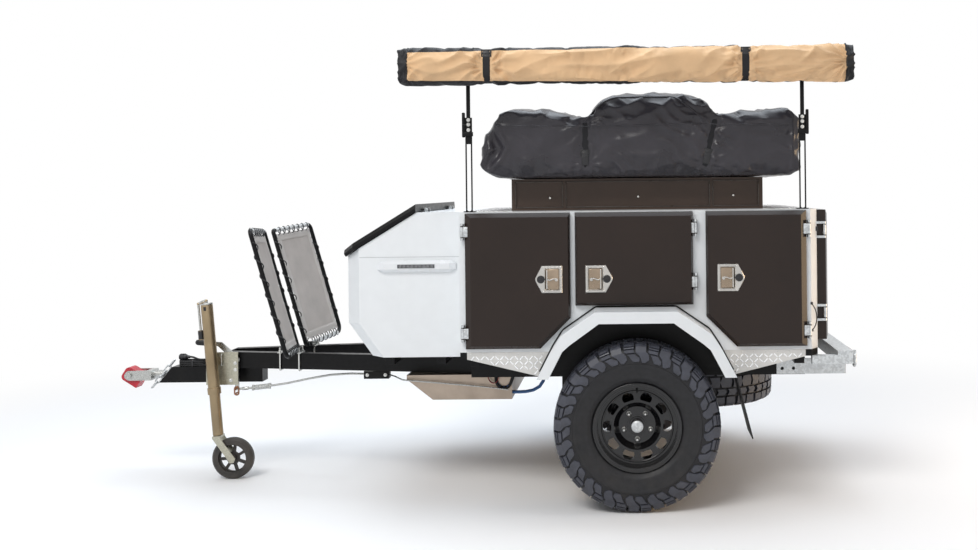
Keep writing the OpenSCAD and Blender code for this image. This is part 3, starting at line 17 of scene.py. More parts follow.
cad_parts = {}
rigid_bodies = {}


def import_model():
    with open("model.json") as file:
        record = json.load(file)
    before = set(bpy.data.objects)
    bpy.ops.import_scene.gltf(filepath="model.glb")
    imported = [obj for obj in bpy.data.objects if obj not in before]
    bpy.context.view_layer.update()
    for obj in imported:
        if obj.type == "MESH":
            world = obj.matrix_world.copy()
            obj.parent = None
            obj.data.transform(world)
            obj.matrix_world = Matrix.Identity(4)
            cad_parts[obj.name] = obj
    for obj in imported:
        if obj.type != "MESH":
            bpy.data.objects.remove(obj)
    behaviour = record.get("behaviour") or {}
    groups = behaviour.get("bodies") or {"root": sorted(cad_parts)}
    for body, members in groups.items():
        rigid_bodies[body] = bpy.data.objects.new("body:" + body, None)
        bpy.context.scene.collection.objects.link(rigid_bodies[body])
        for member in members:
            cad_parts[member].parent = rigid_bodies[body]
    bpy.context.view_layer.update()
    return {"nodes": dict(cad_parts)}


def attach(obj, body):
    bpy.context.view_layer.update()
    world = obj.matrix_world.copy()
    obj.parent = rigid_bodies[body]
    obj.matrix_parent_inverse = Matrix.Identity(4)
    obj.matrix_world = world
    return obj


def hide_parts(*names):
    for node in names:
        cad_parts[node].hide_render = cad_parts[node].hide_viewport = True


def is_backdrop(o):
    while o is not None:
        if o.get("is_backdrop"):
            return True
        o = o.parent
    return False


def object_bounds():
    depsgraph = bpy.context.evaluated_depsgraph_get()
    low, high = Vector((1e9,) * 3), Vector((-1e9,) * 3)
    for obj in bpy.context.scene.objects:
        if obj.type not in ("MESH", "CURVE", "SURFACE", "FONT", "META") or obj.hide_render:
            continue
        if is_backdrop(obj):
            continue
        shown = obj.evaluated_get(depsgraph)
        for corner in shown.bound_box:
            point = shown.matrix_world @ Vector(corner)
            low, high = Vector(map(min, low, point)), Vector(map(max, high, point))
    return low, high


for leftover in list(bpy.data.objects):
    bpy.data.objects.remove(leftover)
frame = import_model()
scene = bpy.context.scene
MM = 0.001
AXLE_X = 0.918


def at(x, y, z):
    """A place in millimetres from the axle, in the shared frame's metres."""
    return Vector((x * MM + AXLE_X, y * MM, z * MM))


# %% [markdown]
# ## Camera and light
# The photograph was taken square to the trailer's side with the wheel right of the middle, so the
# camera looks straight along Y, and a lens shift frames the picture without bending the upright
# lines. A level floor and broad lamps give soft light. The camera sees a white surround, and so do
# metal and glass. What lights the paint from all round is an open yard: blue sky above, and warm
# ground to the rear.

# %% Camera
PHOTO_W, PHOTO_H = 978, 550
FOCAL_PX = 1050
VANISH_PX = (629, 190)
SENSOR_MM = 36
ROLL_DEG = 0.6
CAMERA_PLACE = (-29, -6090, 1596)
camera_data = bpy.data.cameras.new("camera")
camera = bpy.data.objects.new("camera", camera_data)
scene.collection.objects.link(camera)
scene.camera = camera
camera_data.sensor_width = SENSOR_MM
camera_data.lens = SENSOR_MM * FOCAL_PX / PHOTO_W
camera_data.shift_x = (PHOTO_W / 2 - VANISH_PX[0]) / PHOTO_W
camera_data.shift_y = (VANISH_PX[1] - PHOTO_H / 2) / PHOTO_W
camera.location = at(*CAMERA_PLACE)
camera.rotation_euler = (math.pi / 2, math.radians(ROLL_DEG), 0)
scene.view_settings.view_transform = "Standard"
print("lens:", round(camera_data.lens, 2), "mm")


# %% Node helpers
def add(tree, kind, inputs=None, **settings):
    """Adds a node. A socket among the inputs is linked, and anything else is set as its value."""
    node = tree.nodes.new(kind)
    for key, value in settings.items():
        setattr(node, key, value)
    for key, value in (inputs or {}).items():
        socket = node.inputs[key]
        if isinstance(value, bpy.types.NodeSocket):
            tree.links.new(value, socket)
        else:
            socket.default_value = value
    return node


def maths(tree, operation, a, b=0.0, c=0.0, clamp=False):
    return add(tree, "ShaderNodeMath", {0: a, 1: b, 2: c}, operation=operation, use_clamp=clamp).outputs[0]


def ranged(tree, value, low, high, kind="LINEAR"):
    """Zero below a range, one above it, and a slope between."""
    return add(tree, "ShaderNodeMapRange", {"Value": value, "From Min": low, "From Max": high},
               interpolation_type=kind).outputs[0]


def mix_colours(tree, share, a, b):
    node = add(tree, "ShaderNodeMix", {"Factor": share}, data_type="RGBA")
    for name, value in (("A", a), ("B", b)):
        socket = next(s for s in node.inputs if s.name == name and s.type == "RGBA")
        if isinstance(value, bpy.types.NodeSocket):
            tree.links.new(value, socket)
        else:
            socket.default_value = (*value, 1)
    return next(s for s in node.outputs if s.type == "RGBA")


def new_group(name, inputs, outputs, kind="ShaderNodeTree"):
    """An empty node group with named sockets, what it takes in, and its end node."""
    tree = bpy.data.node_groups.new(name, kind)
    for direction, sockets in (("INPUT", inputs), ("OUTPUT", outputs)):
        for label, socket_type, *value in sockets:
            made = tree.interface.new_socket(label, in_out=direction, socket_type="NodeSocket" + socket_type)
            if value:
                made.default_value = value[0]
    return tree, add(tree, "NodeGroupInput").outputs, add(tree, "NodeGroupOutput")


# %% Floor, surround and lamps
def backdrop_rays(tree):
    """One for rays that look at the backdrop, straight, in a mirror or through glass."""
    rays = add(tree, "ShaderNodeLightPath").outputs
    mirrored = maths(tree, "ADD", rays["Is Glossy Ray"], rays["Is Transmission Ray"])
    return maths(tree, "ADD", rays["Is Camera Ray"], mirrored, clamp=True)


FLOOR_HALF = 40
FLOOR_COLOUR = (0.95, 0.947, 0.94, 1)
FADE_FROM, FADE_TO = 2.4, 5.5
SKY_LEVEL = 0.42
bpy.ops.mesh.primitive_plane_add(size=2 * FLOOR_HALF, location=(0, 0, -0.0005))
floor = bpy.context.object
floor.name = "studio_floor"
floor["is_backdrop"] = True
paint = bpy.data.materials.new("floor_pale")
paint.use_nodes = True
tree = paint.node_tree
plain = tree.nodes["Principled BSDF"]
plain.inputs["Base Color"].default_value = FLOOR_COLOUR
plain.inputs["Roughness"].default_value = 0.7
far = add(tree, "ShaderNodeVectorMath", {0: add(tree, "ShaderNodeTexCoord").outputs["Object"]}, operation="LENGTH")
fade = ranged(tree, far.outputs["Value"], FADE_FROM, FADE_TO, "SMOOTHSTEP")
glow = add(tree, "ShaderNodeEmission", {"Color": (1, 1, 1, 1), "Strength": 1.0})
blend = add(tree, "ShaderNodeMixShader", {0: maths(tree, "MULTIPLY", fade, backdrop_rays(tree)),
                                          1: plain.outputs[0], 2: glow.outputs[0]})
tree.links.new(blend.outputs[0], tree.nodes["Material Output"].inputs["Surface"])
floor.data.materials.append(paint)

world = bpy.data.worlds.new("studio")
world.use_nodes = True
scene.world = world
tree = world.node_tree
tree.nodes.clear()
way = add(tree, "ShaderNodeSeparateXYZ", {0: add(tree, "ShaderNodeTexCoord").outputs["Generated"]}).outputs
upward = ranged(tree, way["Z"], 0.05, 0.75, "SMOOTHSTEP")
rearward = ranged(tree, way["X"], 0.1, 0.8)
horizon = mix_colours(tree, rearward, (0.40, 0.39, 0.38), (0.95, 0.68, 0.44))
sky = add(tree, "ShaderNodeBackground", {"Color": mix_colours(tree, upward, horizon, (1.00, 1.06, 1.18)),
                                         "Strength": SKY_LEVEL})
white = add(tree, "ShaderNodeBackground", {"Color": (1, 1, 1, 1), "Strength": 1.0})
shown = add(tree, "ShaderNodeMixShader", {0: backdrop_rays(tree), 1: sky.outputs[0], 2: white.outputs[0]})
add(tree, "ShaderNodeOutputWorld", {"Surface": shown.outputs[0]})


def lamp(name, place, aim, size, power, colour):
    data = bpy.data.lights.new(name, "AREA")
    data.shape, data.size, data.size_y, data.energy, data.color = "RECTANGLE", *size, power, colour
    made = bpy.data.objects.new(name, data)
    scene.collection.objects.link(made)
    made.location = place
    made.rotation_euler = (Vector(aim) - Vector(place)).to_track_quat("-Z", "Y").to_euler()


lamp("key_lamp", (-2.0, -5.0, 6.2), (0, 0, 0.9), (4, 2.5), 290, (1.0, 0.985, 0.96))
lamp("top_lamp", (0.3, 1.1, 6.5), (0, 0, 1.0), (7, 4), 320, (0.84, 0.92, 1.0))
lamp("rear_lamp", (6.0, -0.2, 1.1), (0.5, 0, 1.0), (2.2, 2.0), 85, (1.0, 0.70, 0.40))
print("stage ready")

# %% [markdown]
# ## Shared surface effects
# Paint, metal, rubber and cloth all need small irregularities, worn edges and a little road dust.
# Each effect is a node group with its own sizes, built once and placed in every finish that needs
# it. The groups read Object coordinates: every piece sits at the origin, so those are metres.

# %% Grain, brushing, spangle and weave
GRAIN_IN = [("Vector", "Vector"), ("Scale", "Float", 200.0)]
GRAIN_OUT = [("Tone", "Float"), ("Height", "Float")]
MASK_OUT = [("Mask", "Float")]
COARSE_SHARE = 0.04


def clouds(tree, place, scale, detail, roughness=0.5):
    sizes = {"Vector": place, "Scale": scale, "Detail": detail, "Roughness": roughness}
    return add(tree, "ShaderNodeTexNoise", sizes).outputs[0]


def voronoi(tree, start, **settings):
    return add(tree, "ShaderNodeTexVoronoi", {"Vector": start["Vector"], "Scale": start["Scale"]}, **settings).outputs


def end_group(tree, end, **links):
    for name, socket in links.items():
        tree.links.new(socket, end.inputs[name])
    return tree


def grain_group():
    """Fine even grain, with slow patches that change the tone."""
    tree, start, end = new_group("surface_grain", GRAIN_IN, GRAIN_OUT)
    coarse = maths(tree, "MULTIPLY", start["Scale"], COARSE_SHARE)
    return end_group(tree, end, Tone=clouds(tree, start["Vector"], coarse, 4.0),
                     Height=clouds(tree, start["Vector"], start["Scale"], 3.0, 0.6))


def spangle_group():
    """The flat crystals of hot-dip zinc: each cell has a tone of its own."""
    tree, start, end = new_group("zinc_spangle", GRAIN_IN, GRAIN_OUT)
    tone = add(tree, "ShaderNodeSeparateColor", {0: voronoi(tree, start)["Color"]}).outputs[0]
    finer = maths(tree, "MULTIPLY", start["Scale"], 3.0)
    return end_group(tree, end, Tone=tone, Height=clouds(tree, start["Vector"], finer, 3.0))


def brushed_group():
    """Fine lines along X, as rolled or brushed sheet shows."""
    tree, start, end = new_group("brushed_lines", GRAIN_IN, GRAIN_OUT)
    drawn = add(tree, "ShaderNodeVectorMath", {0: start["Vector"], 1: (0.03, 1, 1)}, operation="MULTIPLY").outputs[0]
    return end_group(tree, end, Tone=clouds(tree, start["Vector"], 9.0, 5.0),
                     Height=clouds(tree, drawn, start["Scale"], 4.0))


def pebble_group():
    """The embossed pebbles of coated fabric and moulded plastic."""
    tree, start, end = new_group("pebble_emboss", GRAIN_IN, GRAIN_OUT)
    return end_group(tree, end, Tone=clouds(tree, start["Vector"], 5.0, 5.0),
                     Height=voronoi(tree, start, feature="SMOOTH_F1")["Distance"])


def weave_group():
    """Plain weave: warp and weft threads that pass over each other, from coordinates in metres."""
    tree, start, end = new_group("plain_weave", GRAIN_IN, GRAIN_OUT)
    scaled = add(tree, "ShaderNodeVectorMath", {0: start["Vector"], "Scale": start["Scale"]}, operation="SCALE")
    parts = add(tree, "ShaderNodeSeparateXYZ", {0: scaled.outputs[0]}).outputs
    rise = maths(tree, "ADD", parts["Y"], parts["Z"])
    warp, weft = (maths(tree, "SINE", maths(tree, "MULTIPLY", way, math.pi)) for way in (parts["X"], rise))
    height = maths(tree, "MULTIPLY_ADD", maths(tree, "MULTIPLY", warp, weft), 0.5, 0.5)
    return end_group(tree, end, Tone=clouds(tree, start["Vector"], 7.0, 6.0), Height=height)


GRAINS = {"grain": grain_group(), "spangle": spangle_group(), "brushed": brushed_group(),
          "pebble": pebble_group(), "weave": weave_group()}


# %% Worn edges and road dust
def wear_group():
    """A mask along rounded edges, broken up so that the wear isn't even."""
    tree, start, end = new_group("edge_wear", [("Rounded", "Vector"), ("Vector", "Vector"), ("Amount", "Float", 0.3)],
                                 MASK_OUT)
    normal = add(tree, "ShaderNodeNewGeometry").outputs["Normal"]
    facing = add(tree, "ShaderNodeVectorMath", {0: start["Rounded"], 1: normal},
                 operation="DOT_PRODUCT").outputs["Value"]
    bent = maths(tree, "MULTIPLY", maths(tree, "SUBTRACT", 1.0, facing), 9.0, clamp=True)
    broken = ranged(tree, clouds(tree, start["Vector"], 38.0, 5.0), 0.5, 0.66)
    mask = maths(tree, "MULTIPLY", maths(tree, "MULTIPLY", bent, broken), start["Amount"], clamp=True)
    return end_group(tree, end, Mask=mask)


def dust_group():
    """Road dust: thickest near the ground and gone above Top."""
    tree, start, end = new_group("road_dust", [("Vector", "Vector"), ("Amount", "Float", 0.3), ("Top", "Float", 1.0)],
                                 MASK_OUT)
    height = add(tree, "ShaderNodeSeparateXYZ", {0: start["Vector"]}).outputs["Z"]
    low = ranged(tree, height, start["Top"], 0.05, "SMOOTHSTEP")
    spread = ranged(tree, clouds(tree, start["Vector"], 11.0, 7.0, 0.65), 0.4, 0.75)
    mask = maths(tree, "MULTIPLY", maths(tree, "MULTIPLY", low, spread), start["Amount"], clamp=True)
    return end_group(tree, end, Mask=mask)


EDGE_WEAR, ROAD_DUST = wear_group(), dust_group()
print("effects:", [*GRAINS, "wear", "dust"])

# %% [markdown]
# ## Finishes
# One function lays the effects over a Principled shader: a base colour that drifts in tone, worn
# edges, dust, a roughness that follows them, and a bump from the grain. A Bevel node rounds the
# edges of the CAD solids in the shading, so that they catch the light as folded sheet does.

# %% One function for the finishes
DUST_COLOUR = (0.30, 0.25, 0.19)
DUST_DULLS = 0.35
WEAR_COLOUR = (0.42, 0.42, 0.41)
finishes = {}


def placed(tree, group, **inputs):
    return add(tree, "ShaderNodeGroup", inputs, node_tree=group).outputs


def finish(name, colour, rough, metal=0.0, coat=0.0, kind="grain", scale=300.0, bump=0.1, depth=0.3, tone=0.15,
           rough_tone=0.12, wear=0.0, dust=0.0, dust_top=1.0, edge=1.5, coords="Object", worn=WEAR_COLOUR,
           specular=0.5, **sockets):
    """A finish from shared effects. Depth is in millimetres, and scale in grains per metre."""
    made = bpy.data.materials.new(name)
    made.use_nodes = True
    tree = made.node_tree
    shader = tree.nodes["Principled BSDF"]
    plain = {"Metallic": metal, "Coat Weight": coat, "Specular IOR Level": specular}
    for key, value in (plain | sockets).items():
        shader.inputs[key.replace("_", " ")].default_value = value
    place = add(tree, "ShaderNodeTexCoord").outputs
    body = place["Object"]
    grain = placed(tree, GRAINS[kind], Vector=place[coords], Scale=scale)
    dark = tuple(c * (1 - tone) for c in colour)
    light = tuple(min(1.0, c * (1 + tone)) for c in colour)
    drift = ranged(tree, grain["Tone"], 0.3, 0.7)
    shade = mix_colours(tree, drift, dark, light)
    shine = maths(tree, "MULTIPLY_ADD", drift, rough_tone, rough - rough_tone / 2)
    rounded = add(tree, "ShaderNodeBevel", {"Radius": edge * MM}, samples=4).outputs[0] if edge else None
    if wear:
        mask = placed(tree, EDGE_WEAR, Rounded=rounded, Vector=body, Amount=wear)["Mask"]
        shade = mix_colours(tree, mask, shade, worn)
    if dust:
        mask = placed(tree, ROAD_DUST, Vector=body, Amount=dust, Top=dust_top)["Mask"]
        shade = mix_colours(tree, mask, shade, DUST_COLOUR)
        shine = maths(tree, "ADD", shine, maths(tree, "MULTIPLY", mask, DUST_DULLS))
    tree.links.new(shade, shader.inputs["Base Color"])
    tree.links.new(shine, shader.inputs["Roughness"])
    relief = add(tree, "ShaderNodeBump", {"Strength": bump, "Distance": depth * MM, "Height": grain["Height"]})
    if rounded:
        tree.links.new(rounded, relief.inputs["Normal"])
    tree.links.new(relief.outputs[0], shader.inputs["Normal"])
    finishes[name] = made


# %% Painted and coated sheet
finish("body_white", (0.80, 0.825, 0.84), 0.34, coat=0.25, scale=420, bump=0.05, tone=0.015, dust=0.22,
       dust_top=0.95, edge=2.0)
finish("door_black", (0.022, 0.0135, 0.0105), 0.20, scale=60, bump=0.0, tone=0.12, rough_tone=0.05, edge=0,
       specular=0.28)
finish("riser_black", (0.092, 0.064, 0.050), 0.40, scale=90, bump=0.0, tone=0.10, rough_tone=0.05, specular=0.3)
finish("riser_edge", (0.085, 0.068, 0.056), 0.30, bump=0.05, tone=0.12, edge=0.8)
finish("chassis_black", (0.004, 0.004, 0.0045), 0.34, scale=1200, bump=0.2, depth=0.15, tone=0.3, wear=0.5,
       worn=(0.14, 0.13, 0.125), dust=0.08, dust_top=0.75, specular=0.18)
finish("rim_black", (0.005, 0.005, 0.006), 0.13, coat=0.3, scale=500, bump=0.04, tone=0.2, rough_tone=0.06, wear=0.25,
       edge=2.0, worn=(0.10, 0.10, 0.10), dust=0.04, dust_top=0.7, specular=0.35)
finish("coupling_red", (0.47, 0.014, 0.030), 0.42, coat=0.15, scale=700, bump=0.12, tone=0.10, wear=0.4, edge=2.5,
       worn=(0.62, 0.16, 0.15))
finish("lamp_white", (0.78, 0.80, 0.82), 0.28, coat=0.3, bump=0.02, tone=0.01, edge=2.0)
finish("lamp_lens", (0.86, 0.88, 0.90), 0.06, coat=0.6, scale=90, bump=0.05, tone=0.02, edge=0.6, IOR=1.46,
       Transmission_Weight=0.85)
finish("lamp_red", (0.42, 0.008, 0.012), 0.12, coat=0.6, scale=120, tone=0.1, edge=1.0)
finish("lamp_cell", (0.10, 0.10, 0.11), 0.25, metal=0.4, scale=900, tone=0.3, edge=0.4)

# %% Bare and plated metal
finish("zinc", (0.46, 0.465, 0.45), 0.28, metal=1.0, kind="spangle", scale=260, bump=0.05, tone=0.10, edge=1.2,
       wear=0.3, worn=(0.75, 0.75, 0.74))
finish("galvanised", (0.56, 0.58, 0.59), 0.42, metal=0.9, kind="spangle", scale=95, bump=0.08, tone=0.13, dust=0.25,
       dust_top=0.9)
finish("pale_zinc", (0.44, 0.425, 0.345), 0.40, metal=0.9, kind="spangle", scale=180, bump=0.05, tone=0.10, edge=1.2,
       wear=0.3, worn=(0.62, 0.60, 0.52), dust=0.2, dust_top=0.6)
finish("olive_zinc", (0.31, 0.238, 0.148), 0.34, metal=1.0, scale=160, bump=0.06, tone=0.20, edge=1.2, wear=0.35,
       worn=(0.60, 0.55, 0.42), dust=0.2, dust_top=0.6)
finish("tank_steel", (0.36, 0.295, 0.24), 0.33, metal=0.9, kind="brushed", scale=700, bump=0.12, tone=0.18, dust=0.35,
       dust_top=0.75)
finish("latch_steel", (0.54, 0.525, 0.50), 0.24, metal=1.0, kind="brushed", scale=1600, bump=0.08, tone=0.10,
       edge=0.6)
finish("latch_dish", (0.34, 0.265, 0.195), 0.30, metal=0.85, kind="brushed", scale=1600, bump=0.08, tone=0.18,
       edge=0.6)
finish("tread_plate", (0.60, 0.59, 0.57), 0.38, metal=0.6, kind="brushed", scale=500, tone=0.10, edge=0.6, dust=0.25,
       dust_top=0.95)
# The bars are the same aluminium as the plate but painted lighter, a painted highlight on their tops, and the plate
# between them is darker, as painted shade.
finish("tread_bar_painted_highlight", (0.86, 0.87, 0.88), 0.22, metal=0.9, kind="brushed", scale=500, bump=0.05, tone=0.05, edge=0)
finish("bolt_zinc", (0.60, 0.60, 0.58), 0.30, metal=1.0, scale=600, bump=0.05, tone=0.12, edge=0.5)
finish("copper_link", (0.27, 0.135, 0.08), 0.35, metal=0.9, scale=500, tone=0.2, edge=0.8)

# %% Rubber, cord and moulded plastic
# The lugs are the same rubber as the carcass, painted lighter and bluish as a painted sky sheen, and the carcass
# between them is kept darker as painted shade.
finish("tyre", (0.018, 0.018, 0.020), 0.50, scale=900, bump=0.25, tone=0.25, rough_tone=0.2, edge=0, dust=0.05,
       dust_top=0.7, specular=0.3)
finish("tyre_lugs", (0.046, 0.049, 0.064), 0.42, scale=900, bump=0.2, tone=0.2, rough_tone=0.15, edge=0, dust=0.05,
       dust_top=0.7)
finish("rubber_black", (0.011, 0.011, 0.012), 0.5, scale=900, bump=0.2, tone=0.25, edge=1.0, dust=0.15, dust_top=0.7,
       specular=0.3)
finish("jack_rubber", (0.026, 0.023, 0.021), 0.55, scale=700, bump=0.25, tone=0.25, dust=0.15, dust_top=0.4)
finish("moulded_black", (0.010, 0.010, 0.012), 0.40, kind="pebble", scale=1400, bump=0.2, depth=0.1, tone=0.2,
       edge=0.8)
finish("hose_blue", (0.028, 0.115, 0.31), 0.38, scale=600, bump=0.08, tone=0.12, edge=0, dust=0.15)
finish("strap_red", (0.40, 0.02, 0.03), 0.7, kind="weave", scale=900, bump=0.5, edge=0)
print("finishes:", len(finishes))

# %% [markdown]
# ## Finishes on the CAD solids
# Most solids keep their shape, because a folded sheet, a tube or a plate is already right as it is.
# They only need the right finish, so each node's material slots are filled from this table.

# %% Dress the nodes
NODE_FINISH = {
    "body_white": ["nose_box", "side_wall_left", "side_wall_right", "end_walls", "top_deck", "fenders"],
    "riser_black": ["riser_box"],
    "door_black": ["rear_door"] + [f"{d}_door_{s}" for d in ("front", "mid", "rear_side")
                                                             for s in ("left", "right")],
    "chassis_black": ["nose_lid", "chassis_frame", "rock_guard_frame", "floor_pan", "wheel_tubs",
                      "suspension", "awning_posts"],
    "rim_black": ["rim_left", "rim_right", "spare_rim"],
    "coupling_red": ["coupling_block"],
    "zinc": ["coupling_yoke", "brake_cable", "handbrake_lever"],
    "galvanised": ["safety_chain", "door_hinges", "rear_bumper", "shackles"],
    "olive_zinc": ["jack_tube", "jack_leg"],
    "pale_zinc": ["jack_bracket", "jack_fork"],
    "tank_steel": ["tank_guard"],
    "tread_plate": ["sill_plates"],
    "lamp_white": ["nose_lights"],
    "lamp_red": ["tail_lamps"],
    "rubber_black": ["mud_flaps", "lead_gland", "lead_cable", "lead_coil", "lead_plug"],
    "hose_blue": ["hoses"],
    "tyre": ["tyre_left", "tyre_right", "spare_tyre"],
    "jack_rubber": ["jack_wheel"],
}
for finish_name, names in NODE_FINISH.items():
    for node_name in names:
        mesh = frame["nodes"][node_name].data
        mesh.materials.clear()
        mesh.materials.append(finishes[finish_name])
print("dressed:", sum(map(len, NODE_FINISH.values())), "of", len(frame["nodes"]))

# %% [markdown]
# ## Tools for making pieces
# A piece is drawn in millimetres from the axle, as a workshop drawing would be, and turned into
# metres in the shared frame at the end. These helpers draw what a trailer is made of: rounded
# blocks, turned parts, bent tubes and straps. Each gives a part, and parts are joined into a piece.

# %% Mesh helpers
TO_FRAME = Matrix.Translation((AXLE_X, 0, 0)) @ Matrix.Scale(MM, 4)
TO_MM = Matrix.Scale(1 / MM, 4)
OUTWARD = Matrix.Rotation(math.pi / 2, 4, "X")
SMOOTH_DEG = 35
MERGE = 1e-6


def move(x, y, z):
    return Matrix.Translation((x, y, z))


def put(part, place):
    part.transform(place)
    return part


def angles(count):
    return [2 * math.pi * k / count for k in range(count)]


def bridged(part, rings, closed=False):
    """Faces from each ring of points to the next. An open run of rings gets a face at each end."""
    sides = len(rings[0])
    for a, b in zip(rings, rings[1:] + rings[:1] if closed else rings[1:]):
        for k in range(sides):
            part.faces.new((a[k], a[(k + 1) % sides], b[(k + 1) % sides], b[k]))
    if not closed:
        part.faces.new(rings[0])
        part.faces.new(rings[-1])
    bmesh.ops.recalc_face_normals(part, faces=part.faces)
    return part


def block(low, high, r=0.0, steps=2):
    """A block between two corners, with its edges rounded."""
    part = bmesh.new()
    bmesh.ops.create_cube(part, size=1)
    low, high = Vector(low), Vector(high)
    part.transform(Matrix.Translation((low + high) / 2) @ Matrix.Diagonal((*(high - low), 1)))
    if r:
        bmesh.ops.bevel(part, geom=part.edges[:], offset=r, segments=steps, affect="EDGES", profile=0.5)
    return part


def turned(profile, sides=32):
    """A turned part round Z, from radius and height. A radius of zero closes to a point."""
    part = bmesh.new()
    rings = []
    for r, z in profile:
        if r < MERGE:
            rings.append([part.verts.new((0, 0, z))])
        else:
            rings.append([part.verts.new((r * math.cos(a), r * math.sin(a), z)) for a in angles(sides)])
    for a, b in zip(rings, rings[1:]):
        for k in range(sides):
            n = (k + 1) % sides
            loop = [a[k % len(a)], a[n % len(a)], b[n % len(b)], b[k % len(b)]]
            part.faces.new(list(dict.fromkeys(loop)))
    for ring in (rings[0], rings[-1]):
        if len(ring) > 1 and profile[0] != profile[-1]:
            part.faces.new(ring)
    bmesh.ops.remove_doubles(part, verts=part.verts, dist=MERGE)
    bmesh.ops.recalc_face_normals(part, faces=part.faces)
    return part


def between(a, b):
    """The place that takes a part drawn along Z from the origin to the line from a to b."""
    a, b = Vector(a), Vector(b)
    return Matrix.Translation(a) @ (b - a).to_track_quat("Z", "Y").to_matrix().to_4x4()


def rod(a, b, r, sides=20, chamfer=0.0):
    length = (Vector(b) - Vector(a)).length
    c = chamfer
    profile = [(0, 0), (r - c, 0), (r, c), (r, length - c), (r - c, length), (0, length)]
    return put(turned([p for i, p in enumerate(profile) if c or i not in (2, 3)], sides), between(a, b))


def smooth_route(points, steps=6):
    """A smooth route through points, as a list of vectors."""
    pts = [Vector(p) for p in points]
    full = [2 * pts[0] - pts[1], *pts, 2 * pts[-1] - pts[-2]]
    route = []
    for a, b, c, d in zip(full, full[1:], full[2:], full[3:]):
        for k in range(steps):
            t = k / steps
            route.append(0.5 * (2 * b + (c - a) * t + (2 * a - 5 * b + 4 * c - d) * t * t
                                + (3 * b - a - 3 * c + d) * t ** 3))
    return route + [pts[-1]]


def ways_along(route):
    """The direction of a route at each of its points."""
    last = len(route) - 1
    return [(route[min(i + 1, last)] - route[max(i - 1, 0)]).normalized() for i in range(len(route))]


def swept(route, r, sides=12):
    """A tube along a route. The radius may be a function of the share of the way."""
    part = bmesh.new()
    route = [Vector(p) for p in route]
    side = None
    rings = []
    for i, (p, along) in enumerate(zip(route, ways_along(route))):
        if side is None:
            side = along.orthogonal().normalized()
        side = (side - along * side.dot(along)).normalized()
        up = along.cross(side)
        radius = r(i / (len(route) - 1)) if callable(r) else r
        rings.append([part.verts.new(p + radius * (side * math.cos(a) + up * math.sin(a))) for a in angles(sides)])
    return bridged(part, rings)


def closed_tube(loop, r, sides=16):
    """A tube round a closed flat outline in X and Z."""
    part = bmesh.new()
    rings = []
    for i, p in enumerate(loop):
        out = (loop[(i + 1) % len(loop)] - loop[i - 1]).normalized().cross(Vector((0, 1, 0)))
        rings.append([part.verts.new(p + r * (out * math.cos(a) + Vector((0, math.sin(a), 0)))) for a in angles(sides)])
    return bridged(part, rings, closed=True)


def ribbon(centres, half, normals, thick):
    """A flat strip: centre points, a half-width vector, and the outward direction at each point."""
    part = bmesh.new()
    rings = [[part.verts.new(c + s * half + n * h * thick) for s, h in ((-1, 0), (1, 0), (1, 1), (-1, 1))]
             for c, n in zip(centres, normals)]
    bridged(part, rings)
    threads = part.loops.layers.uv.new("threads")
    run = [0.0]
    for a, b in zip(centres, centres[1:]):
        run.append(run[-1] + (b - a).length)
    spots = {v: (u * MM, s * half.length * MM) for ring, u in zip(rings, run) for v, s in zip(ring, (-1, 1, 1, -1))}
    for face in part.faces:
        for loop in face.loops:
            loop[threads].uv = spots[loop.vert]
    return part


def joined(parts, place=None):
    """One part from several."""
    whole = bmesh.new()
    for part in parts:
        held = bpy.data.meshes.new("held")
        part.to_mesh(held)
        part.free()
        whole.from_mesh(held)
        bpy.data.meshes.remove(held)
    if place:
        whole.transform(place)
        if place.determinant() < 0:
            bmesh.ops.reverse_faces(whole, faces=whole.faces)
    return whole


def bolt(r, head, stud=0.0):
    """A hexagon bolt that stands along Z, with a washer and a length of stud."""
    parts = [turned([(0, 1.5), (r, 1.5), (r, 1.5 + head), (r * 0.8, 2.5 + head), (0, 2.5 + head)], 6),
             turned([(0, 0), (r * 1.35, 0), (r * 1.35, 1.5), (0, 1.5)], 20)]
    if stud:
        parts.append(rod((0, 0, head), (0, 0, head + stud), r * 0.55, 12, 0.8))
    return joined(parts)


print("mesh helpers ready")


def smooth_mesh(name, part, place, smooth=SMOOTH_DEG):
    """A mesh from a part, smooth between its sharp edges."""
    mesh = bpy.data.meshes.new(name)
    put(part, place).to_mesh(mesh)
    part.free()
    mesh.shade_smooth()
    mesh.set_sharp_from_angle(angle=math.radians(smooth))
    return mesh


def settle(name, mesh, body="chassis", replaces=()):
    """Puts a finished mesh in the scene, riding on a body."""
    made = bpy.data.objects.new(name, mesh)
    scene.collection.objects.link(made)
    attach(made, body)
    if replaces:
        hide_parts(*replaces)
    return made


def piece(name, parts, finish_name, body="chassis", replaces=(), smooth=SMOOTH_DEG):
    """A piece from parts in millimetres. Its slot follows from its finish."""
    part = joined(parts) if isinstance(parts, list) else parts
    mesh = smooth_mesh(name, part, TO_FRAME, smooth)
    mesh.materials.append(finishes[finish_name])
    return settle(name, mesh, body, replaces)


# %% [markdown]
# ## Node trees for what repeats
# Bolts, lugs, stitches and lacing repeat by a rule, so a Geometry Nodes tree places them. A tree
# takes its sizes through named inputs. Once it has run, the result is kept as a plain mesh, because
# the modifier has done its work.


# %% Run a tree
def grow(source, tree, finish_name, **values):
    """Runs a tree on a mesh or curve, and gives the plain mesh that it makes."""
    grower = bpy.data.objects.new("grower", source)
    scene.collection.objects.link(grower)
    modifier = grower.modifiers.new("grow", "NODES")
    modifier.node_group = tree
    values["Finish"] = finishes[finish_name]
    for item in tree.interface.items_tree:
        if item.item_type == "SOCKET" and item.in_out == "INPUT" and item.name in values:
            modifier[item.identifier] = values[item.name]
    graph = bpy.context.evaluated_depsgraph_get()
    mesh = bpy.data.meshes.new_from_object(grower.evaluated_get(graph), depsgraph=graph)
    grower.modifiers.remove(modifier)
    bpy.data.objects.remove(grower)
    return mesh


